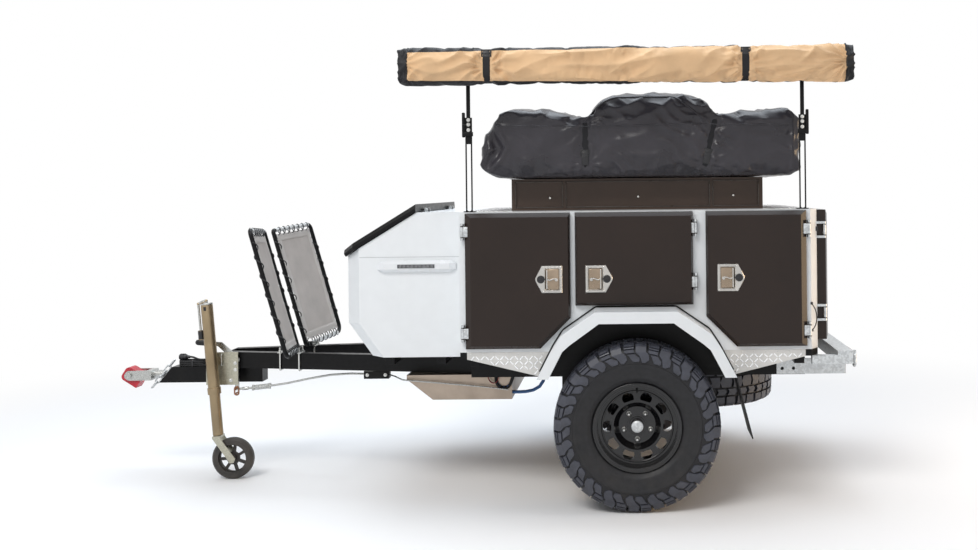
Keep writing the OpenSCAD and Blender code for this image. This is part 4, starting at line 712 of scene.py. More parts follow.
def new_tree(name, *inputs):
    """A tree that takes geometry, inputs of its own and a finish."""
    return new_group(name, [("Geometry", "Geometry"), *inputs, ("Finish", "Material")], [("Geometry", "Geometry")],
                     "GeometryNodeTree")


def end_tree(tree, start, end, geometry):
    """Every tree ends in the same way: real geometry with its finish."""
    real = add(tree, "GeometryNodeRealizeInstances", {"Geometry": geometry.outputs[0]})
    done = add(tree, "GeometryNodeSetMaterial", {"Geometry": real.outputs[0], "Material": start["Finish"]})
    tree.links.new(done.outputs[0], end.inputs["Geometry"])
    return tree


# %% A ring of copies round a wheel's axle
def ring_tree():
    tree, start, end = new_tree("ring_round_axle", ("Count", "Int", 5))
    line = add(tree, "GeometryNodeMeshLine", {"Count": start["Count"], "Offset": (0, 0, 0)})
    copies = add(tree, "GeometryNodeInstanceOnPoints", {"Points": line.outputs[0], "Instance": start["Geometry"]})
    step = maths(tree, "DIVIDE", 2 * math.pi, start["Count"])
    angle = maths(tree, "MULTIPLY", add(tree, "GeometryNodeInputIndex").outputs[0], step)
    turn = add(tree, "ShaderNodeCombineXYZ", {"Y": angle})
    spun = add(tree, "GeometryNodeRotateInstances", {"Instances": copies.outputs[0], "Rotation": turn.outputs[0]})
    return end_tree(tree, start, end, spun)


# %% Copies of a small part on points, or spaced along a route
def copies_of(tree, start, points, rotation):
    shape = add(tree, "GeometryNodeObjectInfo", {"Object": start["Part"]})
    return add(tree, "GeometryNodeInstanceOnPoints", {
        "Points": points, "Instance": shape.outputs["Geometry"], "Rotation": rotation})


def copies_tree():
    tree, start, end = new_tree("copies_on_points", ("Part", "Object"))
    turn = add(tree, "GeometryNodeInputNamedAttribute", {"Name": "turn"}, data_type="FLOAT_VECTOR")
    euler = add(tree, "FunctionNodeEulerToRotation", {0: turn.outputs[0]})
    return end_tree(tree, start, end, copies_of(tree, start, start["Geometry"], euler.outputs[0]))


def along_tree():
    tree, start, end = new_tree("parts_along_route", ("Part", "Object"), ("Spacing", "Float", 0.01))
    points = add(tree, "GeometryNodeCurveToPoints", {"Curve": start["Geometry"], "Length": start["Spacing"]},
                 mode="LENGTH").outputs
    return end_tree(tree, start, end, copies_of(tree, start, points["Points"], points["Rotation"]))


RING, COPIES, ALONG = ring_tree(), copies_tree(), along_tree()


def hold(part):
    """A small part as an object that a tree can copy."""
    return bpy.data.objects.new("small_part", smooth_mesh("small_part", part, Matrix.Scale(MM, 4)))


def scatter(name, part, spots, finish_name):
    """Copies of a part at spots: places in millimetres, with turns in degrees."""
    points = bpy.data.meshes.new("spots")
    points.from_pydata([at(*place) for place, turn in spots], [], [])
    turns = points.attributes.new("turn", "FLOAT_VECTOR", "POINT")
    turns.data.foreach_set("vector", [math.radians(a) for place, turn in spots for a in turn])
    small = hold(part)
    mesh = grow(points, COPIES, finish_name, Part=small)
    bpy.data.objects.remove(small)
    return settle(name, mesh)


print("trees:", [tree.name for tree in (RING, COPIES, ALONG)])

# %% [markdown]
# ## The electric lead
# A black rubber lead leaves a gland in the drawbar's end plate, drops onto the beam, is folded into
# a hank of three turns and ends in the plug that lies on top. A cord has a fixed length, so its
# route is worked out first: runs and half circles, each turn one diameter above the last.

# %% Route of the lead
LEAD_R = 5.5
LEAD_EXIT = (-2347, -34, 620)
LEAD_RUN_IN = [LEAD_EXIT, (-2370, -34, 619.5), (-2394, -34, 617), (-2418, -34.2, 613.6), (-2442, -34.4, 612),
               (-2464.7, -34.5, 611.7)]
HANK_FRONT, HANK_REAR, HANK_R, HANK_Z, HANK_TURNS = -2605, -2505, 34.5, 611.7, 3
RUN_GAP, BEND_STEPS, RISE_STEPS = 20, 8, 6
PLUG_REAR, PLUG_Z = -2583, 655.2


def hank_turn(z, rise):
    """One turn: out along the near side, round, back along the far side, and round while it rises."""
    bend = [math.pi * k / BEND_STEPS for k in range(BEND_STEPS + 1)]
    rear, front = HANK_REAR - RUN_GAP, HANK_FRONT + RUN_GAP
    turn = [(x, -HANK_R, z) for x in np.linspace(rear, front, 4)]
    turn += [(HANK_FRONT - HANK_R * math.sin(a), -HANK_R * math.cos(a), z) for a in bend]
    turn += [(x, HANK_R, z) for x in np.linspace(front, rear, 4)]
    return turn + [(HANK_REAR + HANK_R * math.sin(a), HANK_R * math.cos(a), z + rise * (1 - math.cos(a)) / 2)
                   for a in bend]


lead_points = LEAD_RUN_IN + [(-2490, -HANK_R, HANK_Z)]
for turn in range(HANK_TURNS):
    lead_points += hank_turn(HANK_Z + 2 * LEAD_R * turn, 2 * LEAD_R)
hank_top = HANK_Z + 2 * LEAD_R * HANK_TURNS
for k in range(1, RISE_STEPS + 1):
    share = (1 - math.cos(math.pi * k / RISE_STEPS)) / 2
    lead_points.append((HANK_REAR + (PLUG_REAR - HANK_REAR) * k / RISE_STEPS, -HANK_R * (1 - share),
                        hank_top + (PLUG_Z - hank_top) * share))
lead_points.append((PLUG_REAR - 12, 0, PLUG_Z))
lead_route = smooth_route(lead_points, 3)

# %% Lead, plug, gland and ties
PLUG_PROFILE = [(0, 0), (6.5, 0), (8.5, 5), (9.5, 12), (12.5, 18), (15.5, 21), (16, 24), (16, 33), (14.6, 34),
                (14.6, 37), (16, 38), (16, 58), (15, 61), (12.5, 61.5), (12.5, 52), (0, 52)]
GLAND_PROFILE = [(0, 0), (12, 0), (12, 5), (10.5, 6), (10.5, 8.6), (9.6, 10), (8.6, 22), (7, 30), (5.6, 33), (0, 33)]
PINS, PIN_CIRCLE = 7, 8.2
TIE_X, TIE_W, TIE_T = -2560, 9, 0.9
lead = piece("lead", swept(lead_route, LEAD_R, 12), "rubber_black", replaces=["lead_cable", "lead_coil"])
plug_parts = [turned(PLUG_PROFILE, 32)]
for a in angles(PINS):
    spot = Vector((PIN_CIRCLE * math.cos(a), PIN_CIRCLE * math.sin(a), 51))
    plug_parts.append(rod(spot, spot + Vector((0, 0, 8)), 1.6, 10, 0.5))
plug_parts.append(block((-5, 14.5, 26), (5, 19, 57), 1.5))
plug_place = between((PLUG_REAR, 0, PLUG_Z), (PLUG_REAR - 62, 0, PLUG_Z))
plug = piece("lead_plug_body", joined(plug_parts, plug_place), "moulded_black", replaces=["lead_plug"])
gland = put(turned(GLAND_PROFILE, 24), between((-2338.1, -34, 620), (-2378, -34, 619.4)))
piece("lead_gland_nut", gland, "moulded_black", replaces=["lead_gland"])
z0, z1 = HANK_Z - LEAD_R - 0.3, HANK_Z + LEAD_R * (2 * HANK_TURNS - 1) + 0.6
tie_parts = []
for middle in (-HANK_R, HANK_R):
    y0, y1 = middle - LEAD_R - 0.6, middle + LEAD_R + 0.6
    for y, z in ((y0, z0), (y1, z1)):
        tie_parts.append(block((TIE_X, y - TIE_T / 2, z0), (TIE_X + TIE_W, y + TIE_T / 2, z1)))
        tie_parts.append(block((TIE_X, y0, z - TIE_T / 2), (TIE_X + TIE_W, y1, z + TIE_T / 2)))
ties = piece("lead_ties", tie_parts, "moulded_black")
print("lead in place, with its plug, gland and ties")

# %% [markdown]
# ## Tyres
# An all-terrain tyre has a smooth carcass and rubber lugs that stand on it: blocks across the tread,
# and tall hooked lugs that wrap over the shoulder onto the sidewall. The carcass is turned on a
# lathe. The lugs repeat every 18 degrees, so one pitch of them is lofted over the section, and a tree
# sets twenty of it round the axle.

# %% Section of the tyre
HUB_Y, HUB_Z = 790, 419
# Way across from the middle of the tread, then half width and radius at the lugs' tops and at their feet
SECTION = np.array([
    (0, 0, 419, 0, 404), (40, 40, 418.6, 40, 403.6), (80, 80, 417, 79, 402.5), (112, 112, 414, 107, 400),
    (128, 125, 406, 117, 393), (145, 133.5, 392, 126, 386), (165, 138.5, 372, 132, 369), (195, 142, 342, 136, 341),
    (218, 142.8, 318, 137.5, 317.5), (240, 141, 296, 139, 296)])
# Half width and radius from the tread down to the bead
CARCASS = [(0, 404), (40, 403.6), (79, 402.5), (107, 400), (117, 393), (126, 386), (132, 369), (136, 341),
           (137.5, 322), (140.5, 320), (140.8, 308), (139, 304), (137.6, 296), (134, 277), (128.5, 258), (128.7, 252),
           (123, 243), (115.5, 233), (110.5, 226), (103, 222), (101.6, 203.5)]
PITCHES = 20
LUG_DRAFT, LUG_END_DRAFT = 0.22, 1.2


def over_section(way, degrees, top):
    """A point of the tyre's outside round Y, in millimetres from the hub."""
    half, r = (np.interp(abs(way), SECTION[:, 0], SECTION[:, 2 * (not top) + k]) for k in (1, 2))
    a = math.radians(degrees)
    return Vector((r * math.sin(a), math.copysign(half, way), r * math.cos(a)))


def lug(stations, side, shift):
    """One lug: way across, first and last angle at each station, from the tread outwards."""
    part = bmesh.new()
    rings = []
    for i, (way, first, last) in enumerate(stations):
        top_way = way + LUG_END_DRAFT * ((i == 0) - (i == len(stations) - 1))
        spots = ((way, first, False), (way, last, False),
                 (top_way, last - LUG_DRAFT, True), (top_way, first + LUG_DRAFT, True))
        rings.append([part.verts.new(over_section(side * w, a + shift, top)) for w, a, top in spots])
    return bridged(part, rings)


# %% One pitch of lugs
SIDE_LUGS = [
    [(78, -0.6, 6.4), (112, -0.8, 6.8), (128, -0.8, 7.0), (156, -1.0, 7.2), (160, -0.6, 8.6), (176, 2.0, 10.0),
     (192, 3.4, 10.4), (198, 3.8, 9.2), (208, 4.6, 7.4)],
    [(80, -9.2, -1.8), (112, -9.4, -1.8), (126, -9.4, -1.8)],
    [(131, -9.4, -1.9), (139, -9.4, -1.9)],
    [(144, -9.4, -2.0), (156, -9.4, -1.9), (161, -8.2, -1.4)],
    [(166, -7.4, -1.4), (180, -5.8, 0.8), (184, -5.6, 2.4), (196, -4.4, 2.6), (205, -3.2, 2.0)],
    [(35, 0.4, 6.9), (52, 1.6, 8.1), (71, 0.2, 6.4)],
    [(36, -8.2, -1.4), (54, -7.0, -0.4), (72, -8.6, -2.2)]]
MID_LUGS = [[(-29, -4.4, 3.0), (0, -5.6, 4.2), (29, -4.0, 3.4)], [(-29, 4.8, 12.0), (0, 5.6, 13.0), (29, 4.6, 12.4)]]
pitch_parts = [lug(stations, side, 9 * (side > 0)) for side in (-1, 1) for stations in SIDE_LUGS]
pitch_parts += [lug(stations, 1, 0) for stations in MID_LUGS]
pitch = joined(pitch_parts, Matrix.Scale(MM, 4))
pitch_mesh = bpy.data.meshes.new("tread_pitch")
pitch.to_mesh(pitch_mesh)
pitch.free()


def carcass():
    half = [(r, y) for y, r in CARCASS]
    seat_y, seat_r = CARCASS[-1]
    section = [(r, -y) for r, y in reversed(half)] + half[1:] + [(seat_r, -seat_y)]
    return put(turned(section, 120), Matrix.Rotation(-math.pi / 2, 4, "X"))


def tyre(name, body, place, node):
    """Carcass and lugs at a place, a matrix in millimetres from the axle."""
    piece(name, put(carcass(), place), "tyre", body, [node], smooth=40)
    # The lugs' finish carries a painted sky sheen.
    lugs = grow(pitch_mesh, RING, "tyre_lugs", Count=PITCHES)
    lugs.transform(TO_FRAME @ place @ TO_MM)
    settle(name + "_lugs", lugs, body)
    return len(lugs.polygons)


LEFT_HUB = move(0, -HUB_Y, HUB_Z)
RIGHT_HUB = move(0, HUB_Y, HUB_Z) @ Matrix.Rotation(math.pi, 4, "Z")
SPARE_PLACE = move(364, 0, 548) @ OUTWARD
for tyre_name, body, place, node in (("tyre_near", "wheel_left", LEFT_HUB, "tyre_left"),
                                     ("tyre_far", "wheel_right", RIGHT_HUB, "tyre_right"),
                                     ("tyre_spare", "chassis", SPARE_PLACE, "spare_tyre")):
    count = tyre(tyre_name, body, place, node)
print("tread:", PITCHES, "pitches,", count, "lug faces a tyre")

# %% [markdown]
# ## Wheel fittings
# The black steel wheels have a curled lip, five bright nuts on studs, a grease cap and a valve. The
# nuts are one small part that the ring tree sets round the axle.

# %% Lip, nuts, cap and valve
LIP = [(199.4, 110.2), (200, 112.6), (203.5, 113.8), (208, 112.6), (212, 113.2), (216, 116), (220, 116.4),
       (222.6, 114), (222.8, 110.2), (199.4, 110.2)]
DISC_RING = [(171, 68.2), (172.5, 70.6), (176, 71.6), (179.5, 70.6), (181, 68.2), (171, 68.2)]
GREASE_CAP = [(0, 76.2), (30.4, 76.2), (30.4, 80), (29, 84), (25, 86.5), (12, 87.6), (0, 87.8)]
VALVE_STEM = [(0, 186, 70), (0, 188, 84), (0, 183, 100), (0, 179, 108)]
NUTS, STUD_R, NUT_BASE = 5, 69.85, 36.2


def nut():
    """An acorn nut with its collar, standing on the disc at the stud circle."""
    return joined([turned([(0, 0), (12.5, 0), (12.5, 3), (10.5, 5), (0, 5)], 20),
                   turned([(0, 4.5), (10.4, 4.5), (10.4, 18), (8.6, 20.5), (0, 20.5)], 6),
                   turned([(0, 20), (8.4, 20), (7.6, 24), (4.8, 27), (0, 28)], 16)])


def wheel_trim(tag, body, place):
    axle = place @ OUTWARD
    piece(f"rim_lip_{tag}", joined([turned(LIP, 96), turned(DISC_RING, 96)], axle), "rim_black", body, smooth=50)
    on_stud = Matrix.Rotation(math.pi / NUTS, 4, "Y") @ move(0, 0, STUD_R) @ OUTWARD @ move(0, 0, NUT_BASE)
    nuts = grow(smooth_mesh("nut", put(nut(), on_stud), Matrix.Scale(MM, 4)), RING, "bolt_zinc", Count=NUTS)
    nuts.transform(TO_FRAME @ place @ TO_MM)
    settle(f"wheel_nuts_{tag}", nuts, body)
    piece(f"grease_cap_{tag}", joined([turned(GREASE_CAP, 40)], axle), "galvanised", body)
    stem = swept(smooth_route(VALVE_STEM, 5), lambda t: 4.6 - 1.4 * t, 12)
    stem_cap = rod((0, 179.6, 106), (0, 175.5, 117), 4.2, 14, 0.8)
    piece(f"valve_{tag}", joined([stem, stem_cap], axle), "rubber_black", body)


wheel_trim("near", "wheel_left", LEFT_HUB)
wheel_trim("far", "wheel_right", RIGHT_HUB)
print("wheel fittings on both sides")

# %% [markdown]
# ## Soft goods
# The roof tent lies folded in a glossy coated cover, and the awning is rolled in a canvas bag. Both
# are cloth over something full, cut a little too large, so they swell between their straps and
# crease where the straps pull. Each starts from its solid: an even mesh, a little smaller, is let
# go as cloth with some air pressure and a few per cent of spare cloth, and kept where straps hold it.

# %% Fabric finishes
finish("tent_black", (0.038, 0.0355, 0.042), 0.30, kind="pebble", scale=900, bump=0.12, depth=0.1, tone=0.25, edge=0,
       specular=0.33)
finish("awning_tan", (0.70, 0.465, 0.265), 0.78, kind="weave", scale=1300, bump=0.35, depth=0.25, tone=0.10, edge=0,
       specular=0.2, Sheen_Weight=0.12)
finish("awning_black", (0.016, 0.016, 0.018), 0.6, kind="weave", scale=1300, bump=0.35, depth=0.25, tone=0.2, edge=0,
       specular=0.3)
finish("webbing", (0.012, 0.012, 0.014), 0.62, kind="weave", scale=650, bump=0.7, depth=0.5, tone=0.2, edge=0,
       coords="UV", specular=0.25)
finish("thread", (0.05, 0.05, 0.055), 0.6, scale=2500, bump=0.4, tone=0.2, edge=0)
print("fabrics ready")

# %% Cloth
CLOTH_FRAMES = 20


def vertex_data(mesh, name):
    flat = np.empty(len(mesh.vertices) * 3)
    mesh.vertices.foreach_get(name, flat)
    return flat.reshape(-1, 3)


def coords_of(mesh):
    return vertex_data(mesh, "co")


def normals_of(mesh):
    return vertex_data(mesh, "normal")


def in_mm(mesh):
    return (coords_of(mesh) - np.array([AXLE_X, 0, 0])) / MM


def evaluated(thing):
    graph = bpy.context.evaluated_depsgraph_get()
    return bpy.data.meshes.new_from_object(thing.evaluated_get(graph), depsgraph=graph)


def even_cover(node_name, voxel, rounds, inset):
    """An even, softened mesh a little inside a CAD solid."""
    part = bmesh.new()
    part.from_mesh(frame["nodes"][node_name].data)
    bmesh.ops.remove_doubles(part, verts=part.verts, dist=1e-5)
    mesh = bpy.data.meshes.new("cover")
    part.to_mesh(mesh)
    part.free()
    cover = bpy.data.objects.new("cover", mesh)
    scene.collection.objects.link(cover)
    cover.modifiers.new("even", "REMESH").voxel_size = voxel
    soft = cover.modifiers.new("soft", "SMOOTH")
    soft.factor, soft.iterations = 0.5, rounds
    even = evaluated(cover)
    cover.modifiers.clear()
    cover.data = even
    even.vertices.foreach_set("co", (coords_of(even) - inset * normals_of(even)).ravel())
    return cover


def let_go(cover, held, spare, pressure, cap):
    """Cloth with spare length and air inside. Held weights keep points, and no point moves past cap."""
    mesh = cover.data
    base = coords_of(mesh)
    group = cover.vertex_groups.new(name="held")
    weights = held.round(1)
    for weight in np.unique(weights):
        if weight > 0:
            group.add(np.flatnonzero(weights == weight).tolist(), float(weight), "REPLACE")
    cloth = cover.modifiers.new("cloth", "CLOTH")
    sets = cloth.settings
    sets.quality, sets.mass, sets.air_damping = 5, 0.25, 4.0
    sets.tension_stiffness = sets.compression_stiffness = 12.0
    sets.shear_stiffness, sets.bending_stiffness = 6.0, 0.35
    sets.use_pressure, sets.uniform_pressure_force = True, pressure
    sets.shrink_min = -spare
    sets.vertex_group_mass = "held"
    sets.effector_weights.gravity = 0
    cloth.collision_settings.use_collision = False
    cloth.point_cache.frame_start, cloth.point_cache.frame_end = 1, CLOTH_FRAMES
    for step in range(1, CLOTH_FRAMES + 1):
        scene.frame_set(step)
    moved = evaluated(cover)
    shift = coords_of(moved) - base
    far = np.linalg.norm(shift, axis=1, keepdims=True) + 1e-9
    mesh.vertices.foreach_set("co", (base + shift / far * cap * np.tanh(far / cap)).ravel())
    cover.modifiers.clear()
    scene.frame_set(1)
    bpy.data.meshes.remove(moved)
    print("cloth moved at most", round(float(far.max()) * 1000, 1), "mm")
    level = cover.modifiers.new("fine", "SUBSURF")
    level.levels = level.render_levels = 1
    fine = evaluated(cover)
    bpy.data.objects.remove(cover)
    fine.materials.clear()
    fine.shade_smooth()
    return fine


# %% Creases, and lines laid on cloth
def push(mesh, heights):
    """Moves the points along their normals, by heights in millimetres."""
    mesh.vertices.foreach_set("co", (coords_of(mesh) + normals_of(mesh) * heights[:, None] * MM).ravel())
    mesh.update()


def ridges(t):
    """Sharp crests at whole numbers, with soft hollows between them."""
    return np.abs((t % 1) * 2 - 1) ** 2 - 0.33


def hill(off, half):
    return np.exp(-(off / half) ** 2)


def wander(mm, size, seed):
    return np.array([noise.noise(Vector(p) / size + Vector((seed, 0, 0))) for p in mm])


def fan(mm, spot, count, reach, height, first=0.0):
    """Creases that spread from a point where the cloth is held, seen from the side."""
    along, up = mm[:, 0] - spot[0], mm[:, 2] - spot[1]
    far = np.hypot(along, up)
    turn = np.arctan2(up, along) / (2 * math.pi) * count + 0.5 * wander(mm, 90, spot[0]) + first
    return height * ridges(turn) * np.exp(-far / reach) * np.clip(far / 30 - 0.6, 0, 1)


def folds(mm, lean, pitch, long, height, seed):
    """Loose folds that lie along a lean, in degrees, and come and go along their length."""
    a = math.radians(lean)
    across = mm[:, 2] * math.cos(a) - mm[:, 0] * math.sin(a)
    waves = ridges(across / pitch + 0.8 * wander(mm, long, seed))
    return height * waves * np.clip(wander(mm, long, seed + 9) * 2.2 + 0.6, 0, 1)


def surface_of(mesh):
    return BVHTree.FromPolygons([v.co.copy() for v in mesh.vertices], [tuple(p.vertices) for p in mesh.polygons])


def laid_on(surface, rays):
    """Points and outward directions where rays, given in millimetres, meet a surface."""
    found = []
    for start, aim in rays:
        spot, normal, _, _ = surface.ray_cast(at(*start), Vector(aim))
        if spot is not None:
            if normal.dot(Vector(aim)) > 0:
                normal = -normal
            found.append((TO_FRAME.inverted() @ spot, normal))
    return found


def soft_line(found, rounds=3):
    """Evens out a laid line, as a strap under tension does."""
    spots = [p for p, n in found]
    for _ in range(rounds):
        spots = [spots[0]] + [(a + 2 * b + c) / 4 for a, b, c in zip(spots, spots[1:], spots[2:])] + [spots[-1]]
    return spots


# %% [markdown]
# ## The tent's cover
# The cover is held down by two webbing straps, the right one a little askew, and a taller middle
# panel with piped edges covers the ladder. The straps' lines are drawn in before the cloth is let
# go, so the creases run to them.

# %% Let the tent's cover go
STRAP_HALF, STRAP_T, STRAP_FADE = 17, 1.8, 20
STRAP_LOW, STRAP_HIGH = 1665, 1995
# X at a strap's lower end, how far it leans to the rear on its way up, and where it turns over the top
TENT_STRAPS = ((-256, 0, 1986), (361, 68, 1990))


def strap_x(strap, z):
    return strap[0] + (z - STRAP_LOW) * strap[1] / (STRAP_HIGH - STRAP_LOW)


def under_straps(mm, level):
    """How firmly the straps hold each point, from zero to one."""
    heights = np.clip(mm[:, 2], STRAP_LOW, STRAP_HIGH)
    off = np.min([np.abs(mm[:, 0] - strap_x(strap, heights)) for strap in TENT_STRAPS], axis=0)
    return np.clip(level - off / STRAP_FADE, 0, 1)


tent_cover = even_cover("tent_bag", 0.016, 4, 0.006)
mm = in_mm(tent_cover.data)
pull = under_straps(mm, 1.6)
low_part = np.clip((1690 - mm[:, 2]) / 20, 0, 1)
push(tent_cover.data, -3 * pull * (1 - low_part))
tent_mesh = let_go(tent_cover, np.maximum(pull, low_part), spare=0.045, pressure=3.0, cap=0.016)

# %% Crease the tent's cover
FANS = [((-256, 1735), 11, 95, 15, 0.1), ((-256, 1905), 9, 90, 9, 0.4), ((376, 1735), 11, 95, 15, 0.3),
        ((410, 1905), 9, 90, 9, 0.0), ((-205, 1985), 10, 130, 11, 0.2), ((335, 1985), 10, 130, 11, 0.6),
        ((-760, 1930), 9, 110, 14, 0.0), ((845, 1930), 9, 90, 10, 0.5)]
END_FOLD = [(-760, 1690), (-700, 1762), (-664, 1820), (-700, 1895), (-748, 1985)]
END_TUCK_X = 828
mm, facing = in_mm(tent_mesh), normals_of(tent_mesh)
heights = sum(fan(mm, *each) for each in FANS) * np.abs(facing[:, 1])
heights += folds(mm, 12, 92, 240, 12, 1.5) + folds(mm, -32, 74, 160, 11, 6.5)
past_fold = np.interp(mm[:, 2], [z for x, z in END_FOLD], [x for x, z in END_FOLD]) - mm[:, 0]
end_part = np.clip((mm[:, 2] - 1680) / 40, 0, 1) * np.clip((1990 - mm[:, 2]) / 40, 0, 1) * np.abs(facing[:, 1])
heights += end_part * (12 * hill(past_fold, 16) - 16 * hill(past_fold - 42, 26) + 8 * hill(past_fold - 88, 18))
heights += 6 * hill(mm[:, 0] - END_TUCK_X, 8) * end_part
push(tent_mesh, heights * (1 - under_straps(mm, 1.7)) * np.clip((mm[:, 2] - 1664) / 16, 0, 1))
tent_mesh.materials.append(finishes["tent_black"])
tent = settle("tent_cover", tent_mesh, replaces=["tent_bag"])
tent_skin = surface_of(tent_mesh)
print("tent cover:", len(tent_mesh.polygons), "faces")

# %% Straps round the tent
STRAP_FOOT, STRAP_STEP, STRAP_OUT = 1672, 12, 1000
BUCKLE_Z = 1790
SIDES = ((-900, 1), (900, -1))


def tent_strap(strap):
    """Webbing up the near side, over the top and down the far side."""
    top = strap[2]
    rays = [((strap_x(strap, z), -STRAP_OUT, z), (0, 1, 0)) for z in np.arange(STRAP_FOOT, top, STRAP_STEP)]
    rays += [((strap_x(strap, top), y, top + 500), (0, 0, -1)) for y in np.arange(-555, 560, STRAP_STEP)]
    rays += [((strap_x(strap, z), STRAP_OUT, z), (0, -1, 0)) for z in np.arange(top, STRAP_FOOT, -STRAP_STEP)]
    found = laid_on(tent_skin, rays)
    return ribbon(soft_line(found), Vector((STRAP_HALF, 0, 0)), [n for p, n in found], STRAP_T)


def buckle(place, turn=0.0):
    """A ladder buckle on a strap: a frame with two slots and the strap's folded tail."""
    parts = [block((-24, -5, z - 3), (24, -1, z + 3), 1.4) for z in (-16, 0, 16)]
    parts += [block((x - 3, -5, -18), (x + 3, -1, 18), 1.4) for x in (-22, 22)]
    parts.append(block((-17, -3.6, -62), (17, -1.6, 14), 0.6))
    return joined(parts, place @ Matrix.Rotation(turn, 4, "Y"))


piece("tent_straps", [tent_strap(strap) for strap in TENT_STRAPS], "webbing")
buckles = []
for strap in TENT_STRAPS:
    for y, way in SIDES:
        (spot, _), = laid_on(tent_skin, [((strap_x(strap, BUCKLE_Z), y, BUCKLE_Z), (0, way, 0))])
        place = Matrix.Translation(spot + Vector((0, -1.5 * way, 0))) @ Matrix.Diagonal((1, way, 1, 1))
        buckles.append(buckle(place, math.atan(strap[1] / (STRAP_HIGH - STRAP_LOW))))
piece("tent_buckles", buckles, "moulded_black")
print("tent buckles:", len(buckles))

# %% Piping, seams and stitches on the tent
HUMP_EDGE = [(-262, 1948), (-235, 1983), (-177, 2042), (-107, 2078), (0, 2083), (110, 2083), (213, 2078), (283, 2030),
             (340, 1983), (372, 1950)]
SEAM_Z = 1935
STITCH_PITCH = 0.009
stitch = hold(block((-0.7, -0.7, -3.2), (0.7, 0.7, 3.2), 0.4, 1))


def on_side(surface, outline, y, way):
    return soft_line(laid_on(surface, [((x, y, z), (0, way, 0)) for x, z in outline]), 2)


def dense(outline, steps=8):
    return [(p.x, p.y) for p in smooth_route([(x, z, 0) for x, z in outline], steps)]


def stitched(name, route):
    """Stitches along a route, as one mesh."""
    curve = bpy.data.curves.new("seam", "CURVE")
    curve.dimensions = "3D"
    spline = curve.splines.new("POLY")
    spline.points.add(len(route) - 1)
    spline.points.foreach_set("co", [c for p in route for c in (*at(*p), 1)])
    settle(name, grow(curve, ALONG, "thread", Part=stitch, Spacing=STITCH_PITCH))


piping, seams = [], []
for tag, (y, way) in zip(("near", "far"), SIDES):
    piping.append(swept(on_side(tent_skin, dense(HUMP_EDGE), y, way), 5.5, 10))
    seam = on_side(tent_skin, [(x, SEAM_Z + 3 * math.sin(x / 160)) for x in range(-730, 850, 14)], y, way)
    seams.append(swept(seam, 2.2, 6))
    stitched(f"tent_stitches_{tag}", [p + Vector((0, -0.6 * way, -9)) for p in seam])
piece("tent_piping", piping + seams, "tent_black")
print("tent sewn")

# %% [markdown]
# ## The awning's bag
# The long bag is tan canvas in front and black at its ends, top edge and belly, with a strap near
# each post. The cloth is cut along the borders, so that each colour ends in a clean line, and a
# cord of black piping covers the ends of the tan.

# %% Let the awning's bag go
AWNING_STRAPS, AWNING_FADE = (-733, 559), 24
AWNING_FANS = [((-733, 2215), 14, 210, 20, 0.2), ((559, 2215), 14, 190, 18, 0.5), ((1080, 2230), 18, 230, 20, 0.1),
               ((-1160, 2230), 16, 150, 16, 0.4)]


def off_straps(mm):
    """How far each point is from the nearest strap, as a share of the distance over which its pull fades."""
    return np.min([np.abs(mm[:, 0] - x) for x in AWNING_STRAPS], axis=0) / AWNING_FADE


awning_cover = even_cover("awning_bag", 0.0115, 5, 0.006)
mm = in_mm(awning_cover.data)
pull = np.clip(1.8 - off_straps(mm), 0, 1)
back = np.clip((mm[:, 1] + 745) / 8, 0, 1)
push(awning_cover.data, -6 * pull * (1 - back))
awning_mesh = let_go(awning_cover, np.maximum(pull, back), spare=0.05, pressure=2.0, cap=0.014)
mm, facing = in_mm(awning_mesh), normals_of(awning_mesh)
heights = sum(fan(mm, *each) for each in AWNING_FANS)
heights = heights + folds(mm, 1.2, 70, 420, 17, 3.5) + folds(mm, 24, 66, 170, 13, 8.5)
push(awning_mesh, heights * np.clip(off_straps(mm) - 0.7, 0, 1) * np.clip(-facing[:, 1] * 2, 0, 1))
print("awning let go")

# %% Two colours of canvas
TAN_ENDS = (-1130, 1062)
TAN_TOP = [(-1130, 2292), (1062, 2322)]
TAN_LOW = [(-1130, 2152), (1062, 2128)]
TAN_FRONT = -0.79


def border_plane(outline):
    (x0, z0), (x1, z1) = outline
    return at(x0, 0, z0), Vector((z0 - z1, 0, x1 - x0)).normalized()


part = bmesh.new()
part.from_mesh(awning_mesh)
planes = [border_plane(TAN_TOP), border_plane(TAN_LOW)] + [(at(x, 0, 0), Vector((1, 0, 0))) for x in TAN_ENDS]
for spot, normal in planes:
    bmesh.ops.bisect_plane(part, geom=part.verts[:] + part.edges[:] + part.faces[:], dist=MERGE, plane_co=spot,
                           plane_no=normal)
(top_co, top_no), (low_co, low_no), (left_co, _), (right_co, _) = planes
for face in part.faces:
    c = face.calc_center_median()
    tan = ((c - top_co).dot(top_no) < 0 and (c - low_co).dot(low_no) > 0 and left_co.x < c.x < right_co.x
           and c.y < TAN_FRONT)
    face.material_index = 0 if tan else 1
    face.smooth = True
part.to_mesh(awning_mesh)
part.free()
for name in ("awning_tan", "awning_black"):
    awning_mesh.materials.append(finishes[name])
awning = settle("awning_canvas", awning_mesh, replaces=["awning_bag"])
awning_skin = surface_of(awning_mesh)
print("awning:", len(awning_mesh.polygons), "faces")

# %% Straps, buckles and end piping of the awning
AWNING_MIDDLE = (-800, 2225)


def laid_round(x, turns):
    """Where rays from all round meet one section of the bag."""
    ways = [Vector((0, math.sin(a), -math.cos(a))) for a in turns]
    return laid_on(awning_skin, [(tuple(Vector((x, *AWNING_MIDDLE)) - way * 400), tuple(way)) for way in ways])


